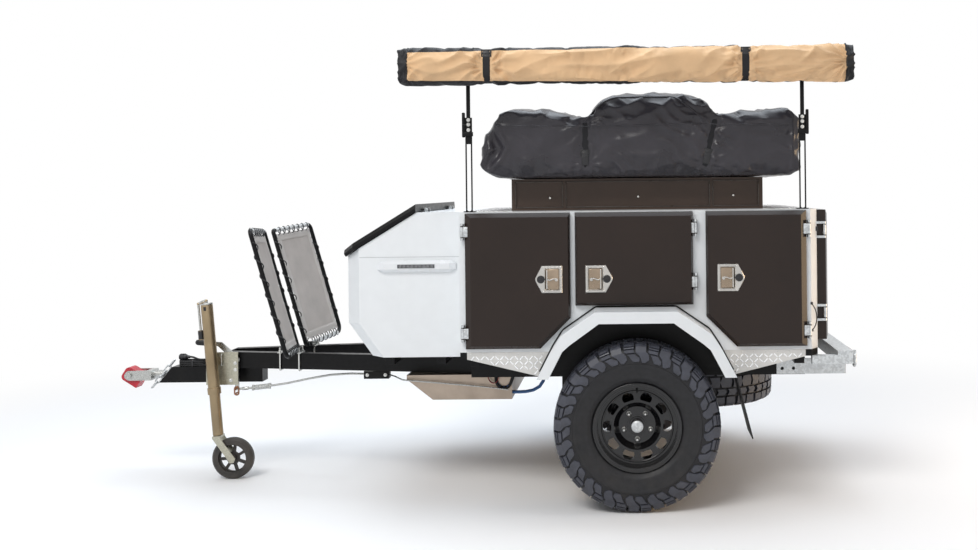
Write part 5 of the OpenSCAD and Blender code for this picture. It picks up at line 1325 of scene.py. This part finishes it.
strap_parts, buckle_parts = [], []
for x in AWNING_STRAPS:
    found = laid_round(x, [2 * math.pi * k / 59 for k in range(60)])
    strap_parts.append(ribbon(soft_line(found, 2), Vector((18, 0, 0)), [n for p, n in found], STRAP_T))
    (spot, _), = laid_on(awning_skin, [((x, -1100, 2285), (0, 1, 0))])
    buckle_parts.append(buckle(Matrix.Translation(spot + Vector((0, -2, 0)))))
piece("awning_straps", strap_parts, "webbing")
piece("awning_buckles", buckle_parts, "moulded_black")
front_turns = [math.pi * (0.08 + 0.84 * k / 47) for k in range(48)]
end_piping = [swept(soft_line(laid_round(x, front_turns), 2), 4.5, 8) for x in TAN_ENDS]
piece("awning_piping", end_piping, "awning_black")
print("awning strapped:", len(strap_parts))

# %% [markdown]
# ## Rock guard
# Two frames of bent tube lean forward over the drawbar and carry mesh screens that stop stones. A
# screen is vinyl mesh with a doubled hem, and an elastic cord laces its eyelets to the tube. The
# frames are swept round one outline. The screen is a grid that is drawn in between its eyelets, with
# thicker rows for the hem, and the lacing is a spiral curve that a tree squeezes flat.

# %% Guard frames
GUARD_W, GUARD_H, GUARD_R = 532, 700, 12
GUARD_IN = 75
GUARD_FOOT, GUARD_LEAN, GUARD_SWEEP = (-1946, 0, 701.76), -15.7, 79.6
SIDES_OUT = {"near": -1, "far": 1}


def guard_place(side):
    """Local X runs along a screen from the middle outwards, and local Z up its lean."""
    return (move(*GUARD_FOOT) @ Matrix.Rotation(math.radians(GUARD_LEAN), 4, "Y")
            @ Matrix.Rotation(math.radians(side * GUARD_SWEEP), 4, "Z"))


def rounded_loop(low, high, radii, steps=6):
    """A closed outline in X and Z with round corners, listed from the lower inner corner."""
    corners = [(low[0], low[1], 180), (high[0], low[1], 270), (high[0], high[1], 0), (low[0], high[1], 90)]
    points = []
    for (x, z, first), r in zip(corners, radii):
        cx = x + (r if x == low[0] else -r)
        cz = z + (r if z == low[1] else -r)
        for k in range(steps + 1):
            a = math.radians(first + 90 * k / steps)
            points.append(Vector((cx + r * math.cos(a), 0, cz + r * math.sin(a))))
    return points


guard_loop = rounded_loop((GUARD_IN, 0), (GUARD_W, GUARD_H), (16, 48, 30, 16))
frame_parts, reflection_sleeves = [], []
for side in SIDES_OUT.values():
    frame_parts.append(joined([closed_tube(guard_loop, GUARD_R)], guard_place(side)))
    # The silver sleeves on the top and bottom runs stand for the sky's reflection on the black tube there: a painted
    # reflection.
    runs = [rod((GUARD_IN + 22, 0, z), (GUARD_W - end, 0, z), GUARD_R + 0.5, 24, 0.4)
            for z, end in ((0, 52), (GUARD_H, 34))]
    reflection_sleeves.append(joined(runs, guard_place(side)))
piece("rock_guard_tubes", frame_parts, "chassis_black", replaces=["rock_guard_frame"])
# The sleeves' silver is a painted reflection on the black tube.
piece("guard_sleeves", reflection_sleeves, "galvanised")
print("guard frames:", len(frame_parts))

# %% Screens
EDGE, HEM, SCALLOP = 25, 42, 6
TURNS_ACROSS, TURNS_UP = 7, 6
SCREEN_T, HEM_T = 0.6, 1.3
SCREEN_LOW, SCREEN_HIGH = (GUARD_IN + EDGE, EDGE), (GUARD_W - EDGE, GUARD_H - EDGE)
finish("screen_mesh", (0.46, 0.42, 0.39), 0.72, kind="weave", scale=420, bump=0.8, depth=0.6, tone=0.10, edge=0,
       specular=0.25)
finish("screen_hem", (0.52, 0.485, 0.455), 0.66, kind="weave", scale=520, bump=0.6, depth=0.4, tone=0.08, edge=0,
       specular=0.3)
finish("bungee_black", (0.010, 0.010, 0.011), 0.55, kind="weave", scale=900, bump=0.6, depth=0.4, tone=0.2, edge=0)


def grid_lines(low, high):
    """Lines across a screen, close together where the hem ends."""
    first = [0, 4, 10, 20, 31, HEM - 0.4, HEM + 0.4, HEM + 8]
    middle = np.linspace(low + HEM + 20, high - HEM - 20, 36)
    return np.array([low + f for f in first] + list(middle) + [high - f for f in reversed(first)])


def drawn_in(p, low, high, turns):
    """How far an edge is drawn in between its eyelets."""
    return SCALLOP * np.sin(math.pi * turns * (p - low) / (high - low)) ** 2


def screen(tag, side):
    (x0, z0), (x1, z1) = SCREEN_LOW, SCREEN_HIGH
    xs, zs = grid_lines(x0, x1), grid_lines(z0, z1)
    gx, gz = np.meshgrid(xs, zs, indexing="ij")
    edge_x, edge_z = np.minimum(gx - x0, x1 - gx), np.minimum(gz - z0, z1 - gz)
    edge = np.minimum(edge_x, edge_z)
    half = np.where(edge < HEM, HEM_T, SCREEN_T)
    near_x, near_z = (np.clip(1 - off / HEM, 0, 1) for off in (edge_x, edge_z))
    sx = gx + np.sign((x0 + x1) / 2 - gx) * near_x * drawn_in(gz, z0, z1, TURNS_UP)
    sz = gz + np.sign((z0 + z1) / 2 - gz) * near_z * drawn_in(gx, x0, x1, TURNS_ACROSS)
    wave = 1.4 * np.sin(gx / 61) * np.sin(gz / 83 + 1)
    n, m = len(xs) - 1, len(zs) - 1
    part = bmesh.new()
    faces = [[[part.verts.new((sx[i, j], wave[i, j] + way * half[i, j], sz[i, j])) for j in range(m + 1)]
              for i in range(n + 1)] for way in (-1, 1)]
    for grid in faces:
        for i in range(n):
            for j in range(m):
                made = part.faces.new((grid[i][j], grid[i + 1][j], grid[i + 1][j + 1], grid[i][j + 1]))
                made.material_index = int(edge[i:i + 2, j:j + 2].min() < HEM - 1)
    rim = [(i, 0) for i in range(n)] + [(n, j) for j in range(m)]
    rim += [(i, m) for i in range(n, 0, -1)] + [(0, j) for j in range(m, 0, -1)]
    for (a, b), (c, d) in zip(rim, rim[1:] + rim[:1]):
        part.faces.new((faces[0][a][b], faces[0][c][d], faces[1][c][d], faces[1][a][b])).material_index = 1
    bmesh.ops.recalc_face_normals(part, faces=part.faces)
    mesh = smooth_mesh(f"screen_{tag}", put(part, guard_place(side)), TO_FRAME, 60)
    for name in ("screen_mesh", "screen_hem"):
        mesh.materials.append(finishes[name])
    return settle(f"screen_{tag}", mesh, replaces=["rock_guard_screens"])


screens = {tag: screen(tag, side) for tag, side in SIDES_OUT.items()}
print("screens:", list(screens))


# %% Eyelets and lacing
def lacing_tree():
    tree, start, end = new_tree("flat_lacing", ("Turns", "Float", 6.0), ("Length", "Float", 0.4),
                                ("Reach", "Float", 0.02), ("Depth", "Float", 0.015), ("Offset", "Float", 0.007),
                                ("Cord", "Float", 0.003))
    spiral = add(tree, "GeometryNodeCurveSpiral", {"Resolution": 24, "Rotations": start["Turns"], "Start Radius": 1.0,
                                                   "End Radius": 1.0, "Height": start["Length"]})
    spot = add(tree, "ShaderNodeSeparateXYZ", {0: add(tree, "GeometryNodeInputPosition").outputs[0]}).outputs
    x = maths(tree, "ADD", maths(tree, "MULTIPLY", spot["X"], start["Reach"]), start["Offset"])
    y = maths(tree, "MULTIPLY", spot["Y"], start["Depth"])
    flat = add(tree, "ShaderNodeCombineXYZ", {"X": x, "Y": y, "Z": spot["Z"]})
    moved = add(tree, "GeometryNodeSetPosition", {"Geometry": spiral.outputs[0], "Position": flat.outputs[0]})
    ring = add(tree, "GeometryNodeCurvePrimitiveCircle", {"Resolution": 8, "Radius": start["Cord"]})
    cord = add(tree, "GeometryNodeCurveToMesh", {"Curve": moved.outputs[0], "Profile Curve": ring.outputs[0],
                                                 "Fill Caps": True})
    soft = add(tree, "GeometryNodeSetShadeSmooth", {"Geometry": cord.outputs[0]})
    return end_tree(tree, start, end, soft)


LACING = lacing_tree()
CORNER_ROOM = 44
EYELET = [(4.6, -1.9), (6.6, -1.7), (7.4, 0), (6.6, 1.7), (4.6, 1.9), (4.6, -1.9)]
EYELET_IN = EDGE + 8
# Start of each laced run, the way along its tube, the way into the screen, its length and its turns
LACED = [(Vector((GUARD_IN + CORNER_ROOM, 0, z)), Vector((1, 0, 0)), Vector((0, 0, way)),
          GUARD_W - GUARD_IN - 2 * CORNER_ROOM, TURNS_ACROSS - 1) for z, way in ((0, 1), (GUARD_H, -1))]
LACED += [(Vector((x, 0, CORNER_ROOM + 20)), Vector((0, 0, 1)), Vector((way, 0, 0)),
           GUARD_H - 2 * CORNER_ROOM - 40, TURNS_UP - 1) for x, way in ((GUARD_W, -1), (GUARD_IN, 1))]


def along_z(start, along, inward):
    """A place whose Z follows a tube and whose X points into the screen."""
    turn = Matrix((inward, along.cross(inward), along)).transposed().to_4x4()
    return Matrix.Translation(start) @ turn


empty = bpy.data.meshes.new("no_points")
for tag, side in SIDES_OUT.items():
    place = guard_place(side)
    cords, eyes = bmesh.new(), []
    for start, along, inward, length, turns in LACED:
        mesh = grow(empty, LACING, "bungee_black", Turns=turns + 0.5, Length=length * MM, Reach=0.0225, Depth=0.0155,
                    Offset=0.0085, Cord=0.003)
        mesh.transform(TO_FRAME @ place @ along_z(start, along, inward) @ TO_MM)
        cords.from_mesh(mesh)
        bpy.data.meshes.remove(mesh)
        eyes += [start + along * (length * k / (turns + 0.5)) + inward * EYELET_IN for k in range(turns + 1)]
    lace_mesh = bpy.data.meshes.new(f"lacing_{tag}")
    cords.to_mesh(lace_mesh)
    cords.free()
    lace_mesh.materials.append(finishes["bungee_black"])
    settle(f"lacing_{tag}", lace_mesh)
    spin = [math.degrees(a) for a in place.to_euler()]
    eyelets = scatter(f"eyelets_{tag}", put(turned(EYELET, 16), OUTWARD), [(place @ e, spin) for e in eyes],
                      "bolt_zinc")
print("screens laced:", list(screens))

# %% Saddles and U-bolts that hold the guard on the drawbar
RAIL_W, RAIL_TOP = 50, 695
U_BOLTS_X = (-2011, -1897)
saddle_parts, saddle_bolts, u_parts, u_nuts = [], [], [], []
for side in SIDES_OUT.values():
    x, y, _ = guard_place(side) @ Vector((113, 0, 0))
    saddle_parts.append(block((x - 34, y - 17, 695.2), (x + 34, y + 17, 700), 1.5))
    saddle_parts.append(block((x - 17, y - 17, 700), (x + 17, y + 17, 722), 4))
    saddle_bolts += [((x + step, y, 700), (0, 0, 0)) for step in (-25, 25)]
    for x in U_BOLTS_X:
        rail_out = 90 + 270 * (x + 2330) / 1450
        outer, inner = legs = rail_out + 6, rail_out - RAIL_W - 8
        bend = [(outer, 726), (outer, 612), (outer - 3, 601), (outer - 12, 598.5), (inner + 12, 598.5),
                (inner + 3, 601), (inner, 612), (inner, 726)]
        u_parts.append(swept(smooth_route([(x, side * y, z) for y, z in bend], 4), 5, 12))
        low, high = sorted((side * (outer + 9), side * (inner - 9)))
        u_parts.append(block((x - 13, low, RAIL_TOP + 0.2), (x + 13, high, RAIL_TOP + 4.5), 1))
        u_nuts += [((x, side * y, RAIL_TOP + 4.5), (0, 0, 0)) for y in legs]
piece("guard_saddles", saddle_parts, "chassis_black")
scatter("guard_bolts", bolt(7, 7, 16), saddle_bolts, "bolt_zinc")
piece("guard_u_bolts", u_parts, "bolt_zinc")
scatter("guard_u_nuts", bolt(8.5, 8), u_nuts, "bolt_zinc")
print("saddles:", len(saddle_parts) // 2, "U-bolts:", len(u_parts) // 2)

# %% [markdown]
# ## Door latches
# Each door has a stainless folding T-handle latch: a pressed plate, pointed on its lock side, with a
# pocket for the handle and a black cap over the keyhole. The plate and its pocket are one skin of
# stepped outlines with the same number of corners, so that one outline bridges to the next.

# %% One latch
LATCH_W, LATCH_H, LATCH_POINT, LATCH_TIP = 138, 140, 34, 7
STEM_ROUTE = [(-40, -5, -2), (-30, -8.5, 3), (-18, -9.5, 1), (-6, -8.5, -4), (6, -9, -1)]
SCREW_SPOTS = [(-61, 62), (-61, -62), (27, 62), (27, -62)]


def latch_outline(inset):
    w, h = LATCH_W / 2 - inset, LATCH_H / 2 - inset
    tip = max(LATCH_TIP - inset * 0.4, 2)
    return [(-w, -h), (-w, h), (w - LATCH_POINT, h), (w, tip), (w, -tip), (w - LATCH_POINT, -h)]


def pocket_outline(inset):
    x0, x1, h = -56 + inset, 21 - inset, 57 - inset
    return [(x0, -h), (x0, h), (x1, h), (x1, h / 3), (x1, -h / 3), (x1, -h)]


def pressed(outline, steps):
    """A skin through one outline at several insets and depths, as rings of points."""
    return [[(x, y, z) for x, z in outline(inset)] for inset, y in steps]


def skin(rings):
    part = bmesh.new()
    return bridged(part, [[part.verts.new(spot) for spot in ring] for ring in rings])


def latch_plate():
    """The plate with its pocket, outwards along -Y, pointed to +X."""
    return skin(pressed(latch_outline, ((0, 0), (0, -3.2), (2.6, -6), (8, -6.4)))
                + pressed(pocket_outline, ((-3, -6.2), (-1.5, -8.2), (1, -8.4), (3, -6.0), (7, -1.4))))


def latch_handle():
    """The folding handle: a bent stem, an eye at its end, and a bar that a finger lifts."""
    eye = turned([(0, 0), (9, 0), (9, 5), (7.5, 6.5), (0, 6.5)], 24)
    return [swept(smooth_route(STEM_ROUTE, 5), 3.6, 10), block((6, -13, -50), (13, -4, 50), 2.6),
            put(eye, move(-38, -2.5, -2) @ OUTWARD)]


def latch_dish():
    """The bronze-coloured floor of the pocket, dished so that fingers fit behind the bar."""
    return skin(pressed(pocket_outline, ((6, -1.0), (6, -2.6), (9, -4.4), (13, -4.6), (22, -3.0), (34, -2.0))))


def latch_screws():
    return [put(turned([(0, 0), (4.4, 0), (4.2, 1.2), (2.6, 2.2), (0, 2.4)], 14), move(x, -6.1, z) @ OUTWARD)
            for x, z in SCREW_SPOTS]


def lock_cap():
    cap = turned([(0, 0), (20, 0), (20, 5), (18.5, 7.5), (13, 8.5), (0, 8.7)], 32)
    return [put(cap, move(41, -6.2, 0) @ OUTWARD), block((32, -16.5, -2.2), (50, -14, 2.2), 0.8),
            rod((24, -9, 0), (12, -9, 0), 2.6, 10)]


# %% Latches on all the doors
LATCHES = [("front", -442, -1), ("mid", -187, 1), ("rear_side", 486, 1)]
LATCH_Y, LATCH_Z = -740.3, 1145
FAR_SIDE = Matrix.Diagonal((1, -1, 1, 1))
QUARTER_TURN = Matrix.Rotation(math.pi / 2, 4, "Z")


def set_latch(door, body, place, node):
    steel = joined([latch_plate(), *latch_handle(), *latch_screws()], place)
    piece(f"latch_{door}", steel, "latch_steel", body, [node], smooth=30)
    piece(f"latch_dish_{door}", joined([latch_dish()], place), "latch_dish", body, smooth=30)
    piece(f"lock_cap_{door}", joined(lock_cap(), place), "moulded_black", body)


for door, x, point in LATCHES:
    place = move(x, LATCH_Y, LATCH_Z) @ Matrix.Diagonal((point, 1, 1, 1))
    set_latch(f"{door}_left", f"{door}_left", place, f"{door}_latch_left")
    set_latch(f"{door}_right", f"{door}_right", FAR_SIDE @ place, f"{door}_latch_right")
set_latch("rear", "rear_door_body", move(1005.3, 480, LATCH_Z) @ QUARTER_TURN, "rear_latch")
print("latches:", 2 * len(LATCHES) + 1)

# %% [markdown]
# ## Hinge leaves
# The doors turn on welded hinges of plated steel. A folded leaf covers the knuckle of each hinge, and
# two screws hold it to the door.

# %% Leaves over the knuckles
HINGE_Y, LEAF_REACH, LEAF_HALF = 726, 30, 26
HINGES = {"front": (-886, 1, (870, 1389.8)), "mid": (309, -1, (1124.8, 1400)), "rear_side": (890, -1, (870, 1389.8))}
REAR_HINGES = (985, -632, (950.1, 1380.1))


def hinge_leaf(place):
    """A leaf along +X from the pin, with its screws, outwards along -Y."""
    heads = [put(turned([(0, 0), (4, 0), (3.6, 1.4), (0, 2)], 14), move(19, -3.7, z) @ OUTWARD) for z in (-15, 15)]
    return joined([rod((0, 0, -LEAF_HALF), (0, 0, LEAF_HALF), 8.6, 24, 0.8),
                   block((2, -3.8, -LEAF_HALF), (LEAF_REACH, 3.8, LEAF_HALF), 1.2), *heads], place)


for door, (x, way, heights) in HINGES.items():
    near = joined([hinge_leaf(move(x, -HINGE_Y, z) @ Matrix.Diagonal((way, 1, 1, 1))) for z in heights])
    far = joined([near.copy()], FAR_SIDE)
    piece(f"hinge_leaves_{door}_left", near, "galvanised", f"{door}_left")
    piece(f"hinge_leaves_{door}_right", far, "galvanised", f"{door}_right")
x, y, heights = REAR_HINGES
rear_leaves = [hinge_leaf(move(x, y, z) @ QUARTER_TURN) for z in heights]
piece("hinge_leaves_rear", rear_leaves, "galvanised", "rear_door_body")
print("hinge leaves on", 2 * len(HINGES) + 1, "doors")

# %% [markdown]
# ## Tread plate
# The sills and the ends of the deck are aluminium tread plate, which has raised bars in two
# directions so that shoes grip. The bars repeat over a surface, so one bar is copied onto a grid of
# points, and every second one is turned the other way.

# %% Bars on the sills and the deck
BAR_PITCH, BAR_TURN, BAR_MARGIN = 25, 45, 11
SILL = [(869, 769), (869, 735), (506, 646), (447, 769)]
SILL_Y, RIVET_Z = 700, 761
DECK_PLATES = ((-893, -680), (712, 925))
DECK_HALF_W, DECK_Z, DECK_MARGIN = 640, 1490, 22


def tread_bar_painted_highlight():
    return block((-12.5, -1.9, -3.2), (12.5, 1.9, 3.2), 1.8)


def bar_turn(i, j):
    return BAR_TURN if (i + j) % 2 else -BAR_TURN


def inside(outline, x, z, margin):
    """Whether a point lies inside a convex outline by a margin."""
    turns = []
    for (x0, z0), (x1, z1) in zip(outline, outline[1:] + outline[:1]):
        turns.append(((x1 - x0) * (z - z0) - (z1 - z0) * (x - x0)) / math.hypot(x1 - x0, z1 - z0))
    return min(turns) > margin or max(turns) < -margin


sill_bars, deck_bars = [], []
for i in range(20):
    for j in range(8):
        x, z = 440 + BAR_PITCH * i, 640 + BAR_PITCH * j
        if inside(SILL, x, z, BAR_MARGIN):
            sill_bars += [((sx * x, sy * SILL_Y, z), (0, bar_turn(i, j), 0)) for sx in (-1, 1) for sy in (-1, 1)]
rivets = [((sx * x, sy * SILL_Y, RIVET_Z), (-90 * sy, 0, 0)) for x in np.arange(480, 860, 62)
          for sx in (-1, 1) for sy in (-1, 1)]
for x0, x1 in DECK_PLATES:
    for i in range(int((x1 - x0 - 20) / BAR_PITCH)):
        for j in range(int((2 * DECK_HALF_W - 20) / BAR_PITCH)):
            spot = (x0 + DECK_MARGIN + BAR_PITCH * i, DECK_MARGIN - DECK_HALF_W + BAR_PITCH * j, DECK_Z + 2)
            deck_bars.append((spot, (90, 0, bar_turn(i, j))))
# The bars' lighter finish is a painted highlight.
scatter("sill_bars", tread_bar_painted_highlight(), sill_bars, "tread_bar_painted_highlight")
rivet = turned([(0, 0), (4.2, 0), (3.9, 1.1), (2.6, 2), (0, 2.3)], 14)
scatter("sill_rivets", rivet, rivets, "bolt_zinc")
deck_parts = [block((x0, -DECK_HALF_W, DECK_Z + 0.1), (x1, DECK_HALF_W, DECK_Z + 2), 0.6, 1) for x0, x1 in DECK_PLATES]
piece("deck_plates", deck_parts, "tread_plate")
scatter("deck_bars", tread_bar_painted_highlight(), deck_bars, "tread_bar_painted_highlight")
print("tread bars:", len(sill_bars) + len(deck_bars))

# %% [markdown]
# ## Trims on the body
# Rubber piping seals the fenders to the walls, a seam runs along each side of the nose, and the nose
# lamps are strips of small clear cells. The riser's three panels have knobs and raised edges.

# %% Fender piping and nose seam
FENDER = [(-494, 668), (-423, 804), (-374, 880), (-205, 996), (205, 996), (374, 880), (423, 804), (494, 668)]
PIPING_Y, SEAM_Y = 704, 610.4
BOTH = (-1, 1)


def offset_line(line, by):
    """An open line in X and Z, moved to its left by a distance."""
    moved = []
    for i, (x, z) in enumerate(line):
        (xa, za), (xb, zb) = line[max(i - 1, 0)], line[min(i + 1, len(line) - 1)]
        along = Vector((xb - xa, zb - za)).normalized()
        moved.append((x - along.y * by, z + along.x * by))
    return moved


def bent(line, r):
    """A line whose corners are rounded off with short arcs."""
    points = [Vector(line[0])]
    for a, b, c in zip(line, line[1:], line[2:]):
        b = Vector(b)
        to_a, to_c = (Vector(a) - b).normalized() * r, (Vector(c) - b).normalized() * r
        points += [b + to_a * (1 - t) ** 2 + to_c * t ** 2 for t in (0, 0.25, 0.5, 0.75, 1)]
    return points + [Vector(line[-1])]


fender_line = bent(offset_line(FENDER, 3.5), 14)
piping = [swept([(p.x, side * PIPING_Y, p.y) for p in fender_line], 4.2, 10) for side in BOTH]
piece("fender_piping", piping, "rubber_black")
finish("sealant", (0.42, 0.44, 0.45), 0.6, scale=500, bump=0.1, tone=0.05, edge=0)
seams = [block((-1440, side * SEAM_Y - 0.5, 1257), (-908, side * SEAM_Y + 0.5, 1259.2), 0.3, 1) for side in BOTH]
piece("nose_seams", seams, "sealant")
print("piping and seams on both sides")

# %% Lamp cells, knobs and panel edges
LIGHT_X, LIGHT_Z, LIGHT_Y = -1140, 1211, 637.4
LIGHT_HALF, CELLS, CELL_PITCH = 97, 9, 20.6
KNOBS, KNOB_Y = [(-457, 1557), (20, 1560), (535, 1562)], 394.8
KNOB = [(0, 0), (3, 0), (3, 5), (6.5, 7), (7, 10), (5.5, 12), (0, 12.6)]
RISER_X, RISER_Z, RISER_Y, BEAD = (-665, 695), (1490, 1660), 400, 5
PANELS = [(0.015, 0.205), (0.215, 0.79), (0.80, 0.985)]
beds, cells = [], []
for side in BOTH:
    y = side * LIGHT_Y
    beds.append(block((LIGHT_X - LIGHT_HALF, y - 0.9, LIGHT_Z - 9.8),
                      (LIGHT_X + LIGHT_HALF, y + 0.9, LIGHT_Z + 9.8), 0.6))
    for k in range(CELLS):
        x = LIGHT_X + (k - (CELLS - 1) / 2) * CELL_PITCH
        cells.append(rod((x, y, LIGHT_Z), (x, side * (LIGHT_Y + 1.8), LIGHT_Z), 7.4, 18, 0.8))
piece("nose_lamp_beds", beds, "lamp_cell")
piece("nose_lamp_cells", cells, "lamp_lens")
knobs = [put(turned(KNOB, 18), move(x, side * KNOB_Y, z) @ Matrix.Rotation(-side * math.pi / 2, 4, "X"))
         for x, z in KNOBS for side in BOTH]
piece("riser_knobs", knobs, "latch_steel")
beads = []
z0, z1 = RISER_Z[0] + 14, RISER_Z[1] - 14
for panel in PANELS:
    x0, x1 = (RISER_X[0] + share * (RISER_X[1] - RISER_X[0]) for share in panel)
    strips = (((x0, z0), (x1, z0 + BEAD)), ((x0, z1 - BEAD), (x1, z1)),
              ((x0, z0), (x0 + BEAD, z1)), ((x1 - BEAD, z0), (x1, z1)))
    beads += [block((xa, side * RISER_Y - 4.6, za), (xb, side * RISER_Y + 1.6, zb), 1.2)
              for side in BOTH for (xa, za), (xb, zb) in strips]
piece("riser_beads", beads, "riser_edge")
print("lamp cells:", len(cells), "knobs:", len(knobs))

# %% Clamps and bolts on the awning posts
POSTS = {-850: -1, 864: 1}
post_bolts = [((x, -702.2, z), (90, 0, 0)) for x in POSTS for z in (1912, 1940, 1964)]
scatter("post_bolts", bolt(7, 5), post_bolts, "bolt_zinc")
clamps = []
for x, way in POSTS.items():
    clamps += [block((x - 24, -705, 1880), (x + 24, -702.2, 1902), 1.0),
               put(block((-8, -6, -64), (8, 0, 64), 5), move(x + 25 * way, -697, 1938)),
               rod((x + 8 * way, -699, 1938), (x + 30 * way, -699, 1938), 5, 14)]
piece("post_clamps", clamps, "chassis_black")
print("post clamps:", len(POSTS))

# %% [markdown]
# ## Jack and handbrake
# The jockey wheel's tube is wound up and down with a crank that has a loose black handle, and the
# handbrake is a plated lever with a rubber grip. A copper-coloured shackle joins the lever to the
# brake rod, and a turnbuckle sets the rod's length. The crank rides on the jack's tube.

# %% Crank, grip and release loop
JACK_PLACE = move(-2383, -190, 650) @ Matrix.Rotation(math.radians(-4.5), 4, "Y")
CRANK_OUT, HANDLE_LOW = 46, 134
CRANK = [(0, 0, 338), (0, 0, 349), (-10, 0, 349.5), (-34, 0, 342), (-46, 0, 330), (-46, 0, 300), (-46, 0, 186)]
HANDLE = [(0, -1), (11, -1), (15.4, 4), (16.2, 12), (15.2, 24), (16.2, 38), (15.4, 50), (11, 53), (0, 53)]
CAP_RING = [(0, 0), (30.5, 0), (32.6, -1.5), (32.6, -9), (32.2, -9.4), (0, -9.4)]
WELD = [(32, 0), (35.5, 2), (36, 6), (35.5, 10), (32, 12), (32, 0)]
RELEASE = [(-2345, -131, 690), (-2345, -148, 688), (-2345, -150, 676), (-2345, -150, 640), (-2345, -148, 628),
           (-2345, -131, 626)]
GRIP = [(0, -2), (12, -2), (15.5, 3), (16, 12), (15, 40), (16, 70), (16, 92), (13, 101), (8, 105), (0, 106)]
GRIP_FROM, GRIP_TO = (-2398, -114, 746.2), (-2501, -114, 755.6)
BRACKET_Y, BRACKET_BOLTS = -130.2, [(-2274, 637), (-2274, 600), (-2300, 540), (-2424, 672), (-2424, 540)]


def on_jack(name, parts, finish_name):
    piece(name, joined(parts, JACK_PLACE), finish_name, "jack_tube_body")


on_jack("crank_handle", [put(turned(HANDLE, 28), move(-CRANK_OUT, 0, HANDLE_LOW))], "moulded_black")
on_jack("crank_rod", [swept(smooth_route(CRANK, 6), 6.6, 14), put(turned(CAP_RING, 40), move(0, 0, 337))], "zinc")
# Thin black plates on the tube's faces stand for the shade inside a slot and a small hole: painted shade.
on_jack("jack_slot", [block((-7, -32.6, 296), (7, -31.4, 318), 0.4),
                      block((-22.9, -23.6, 268), (-21.7, -22.2, 276), 0.2)], "moulded_black")
on_jack("jack_band", [put(turned(WELD, 40), move(0, 0, -150))], "olive_zinc")
piece("jack_release_loop", swept(smooth_route(RELEASE, 5), 3.6, 10), "zinc")
piece("handbrake_grip", put(turned(GRIP, 28), between(GRIP_FROM, GRIP_TO)), "rubber_black")
scatter("bracket_bolts", bolt(8, 6), [((x, BRACKET_Y, z), (90, 0, 0)) for x, z in BRACKET_BOLTS], "bolt_zinc")
print("jack dressed")


# %% Link, clevis and turnbuckle on the brake rod
def oval_ring(length, width, r):
    """A chain link round an oval in X and Z."""
    half = (length - width) / 2
    loop = [Vector((width / 2 * math.cos(a), 0, width / 2 * math.sin(a) + math.copysign(half, math.sin(a))))
            for a in angles(28)]
    return closed_tube(loop, r, 10)


link_pins = [rod((-2270, -106, z), (-2270, -131, z), 5, 14, 1) for z in (492, 466)]
piece("brake_link", [put(oval_ring(46, 24, 4.4), move(-2270, -123.6, 478)), *link_pins], "copper_link")
buckle_ends = Vector((-2178, -116.2, 494)), Vector((-2082, -121.4, 504.4))
across = Vector((0.1, 0, 1)).normalized() * 11
turn_parts = [swept([p + across * s for p in buckle_ends], 3.6, 10) for s in (-1, 1)]
turn_parts += [rod(p - across * 1.4, p + across * 1.4, 7.4, 14, 1) for p in buckle_ends]
turn_parts += [rod((-2226, -115, 490.2), (-2206, -115.4, 491.6), 10, 6, 1),
               rod((-2242, -114.4, 489), (-2228, -115, 490), 8.5, 14, 1)]
piece("turnbuckle", turn_parts, "zinc")
print("brake rod fitted")

# %% Hose, clamp, strap and stay
BLACK_HOSE = [(-760, -409, 604.7), (-758, -410, 575), (-750, -411, 550), (-730, -412, 535), (-705, -412, 534),
              (-684, -411, 550), (-672, -410, 580), (-660, -408, 620), (-655, -406, 660), (-653, -405, 734)]
STRAP_LOOP = [(-800, -432, 604.6), (-797, -428, 590), (-788, -425, 572), (-770, -424, 563), (-752, -425, 572),
              (-744, -428, 590), (-741, -432, 604.6)]
STAY = [(903, -701, 1003), (905, -708, 999), (911, -711, 990), (921, -712, 967), (926, -712, 935), (922, -712, 903),
        (913, -711, 882), (907, -708, 873), (905, -701, 869)]
piece("black_hose", swept(smooth_route(BLACK_HOSE, 5), 8.8, 12), "rubber_black")
piece("cable_clamp", block((-1515, -251, 560.2), (-1375, -199, 604.8), 2.5), "chassis_black")
scatter("cable_clamp_bolts", bolt(7, 5), [((x, -251, 582), (90, 0, 0)) for x in (-1495, -1395)], "bolt_zinc")
strap_route = smooth_route(STRAP_LOOP, 5)
strap_out = [Vector((0, 1, 0)).cross(along) for along in ways_along(strap_route)]
piece("red_strap", ribbon(strap_route, Vector((0, 12, 0)), strap_out, 1.6), "strap_red")
piece("stay_cable", swept(smooth_route(STAY, 6), 2.6, 10), "rubber_black")
stay_feet = [block((x - 6, -703, z - 7), (x + 6, -699.8, z + 7), 1) for x, z in ((903, 1005), (905, 867))]
stay_feet.append(block((926, -709, 1376), (937, -699.8, 1400), 1.5))
piece("stay_brackets", stay_feet, "moulded_black")
print("hose, strap and stay in place")

# %% [markdown]
# ## Sizes
# The box round the dressed trailer is printed. The dressed trailer has to stay inside
# the solids' box.

# %% Print the size of the dressed trailer
low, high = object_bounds()
print("visual box:", [round(v, 3) for v in (*low, *high)])
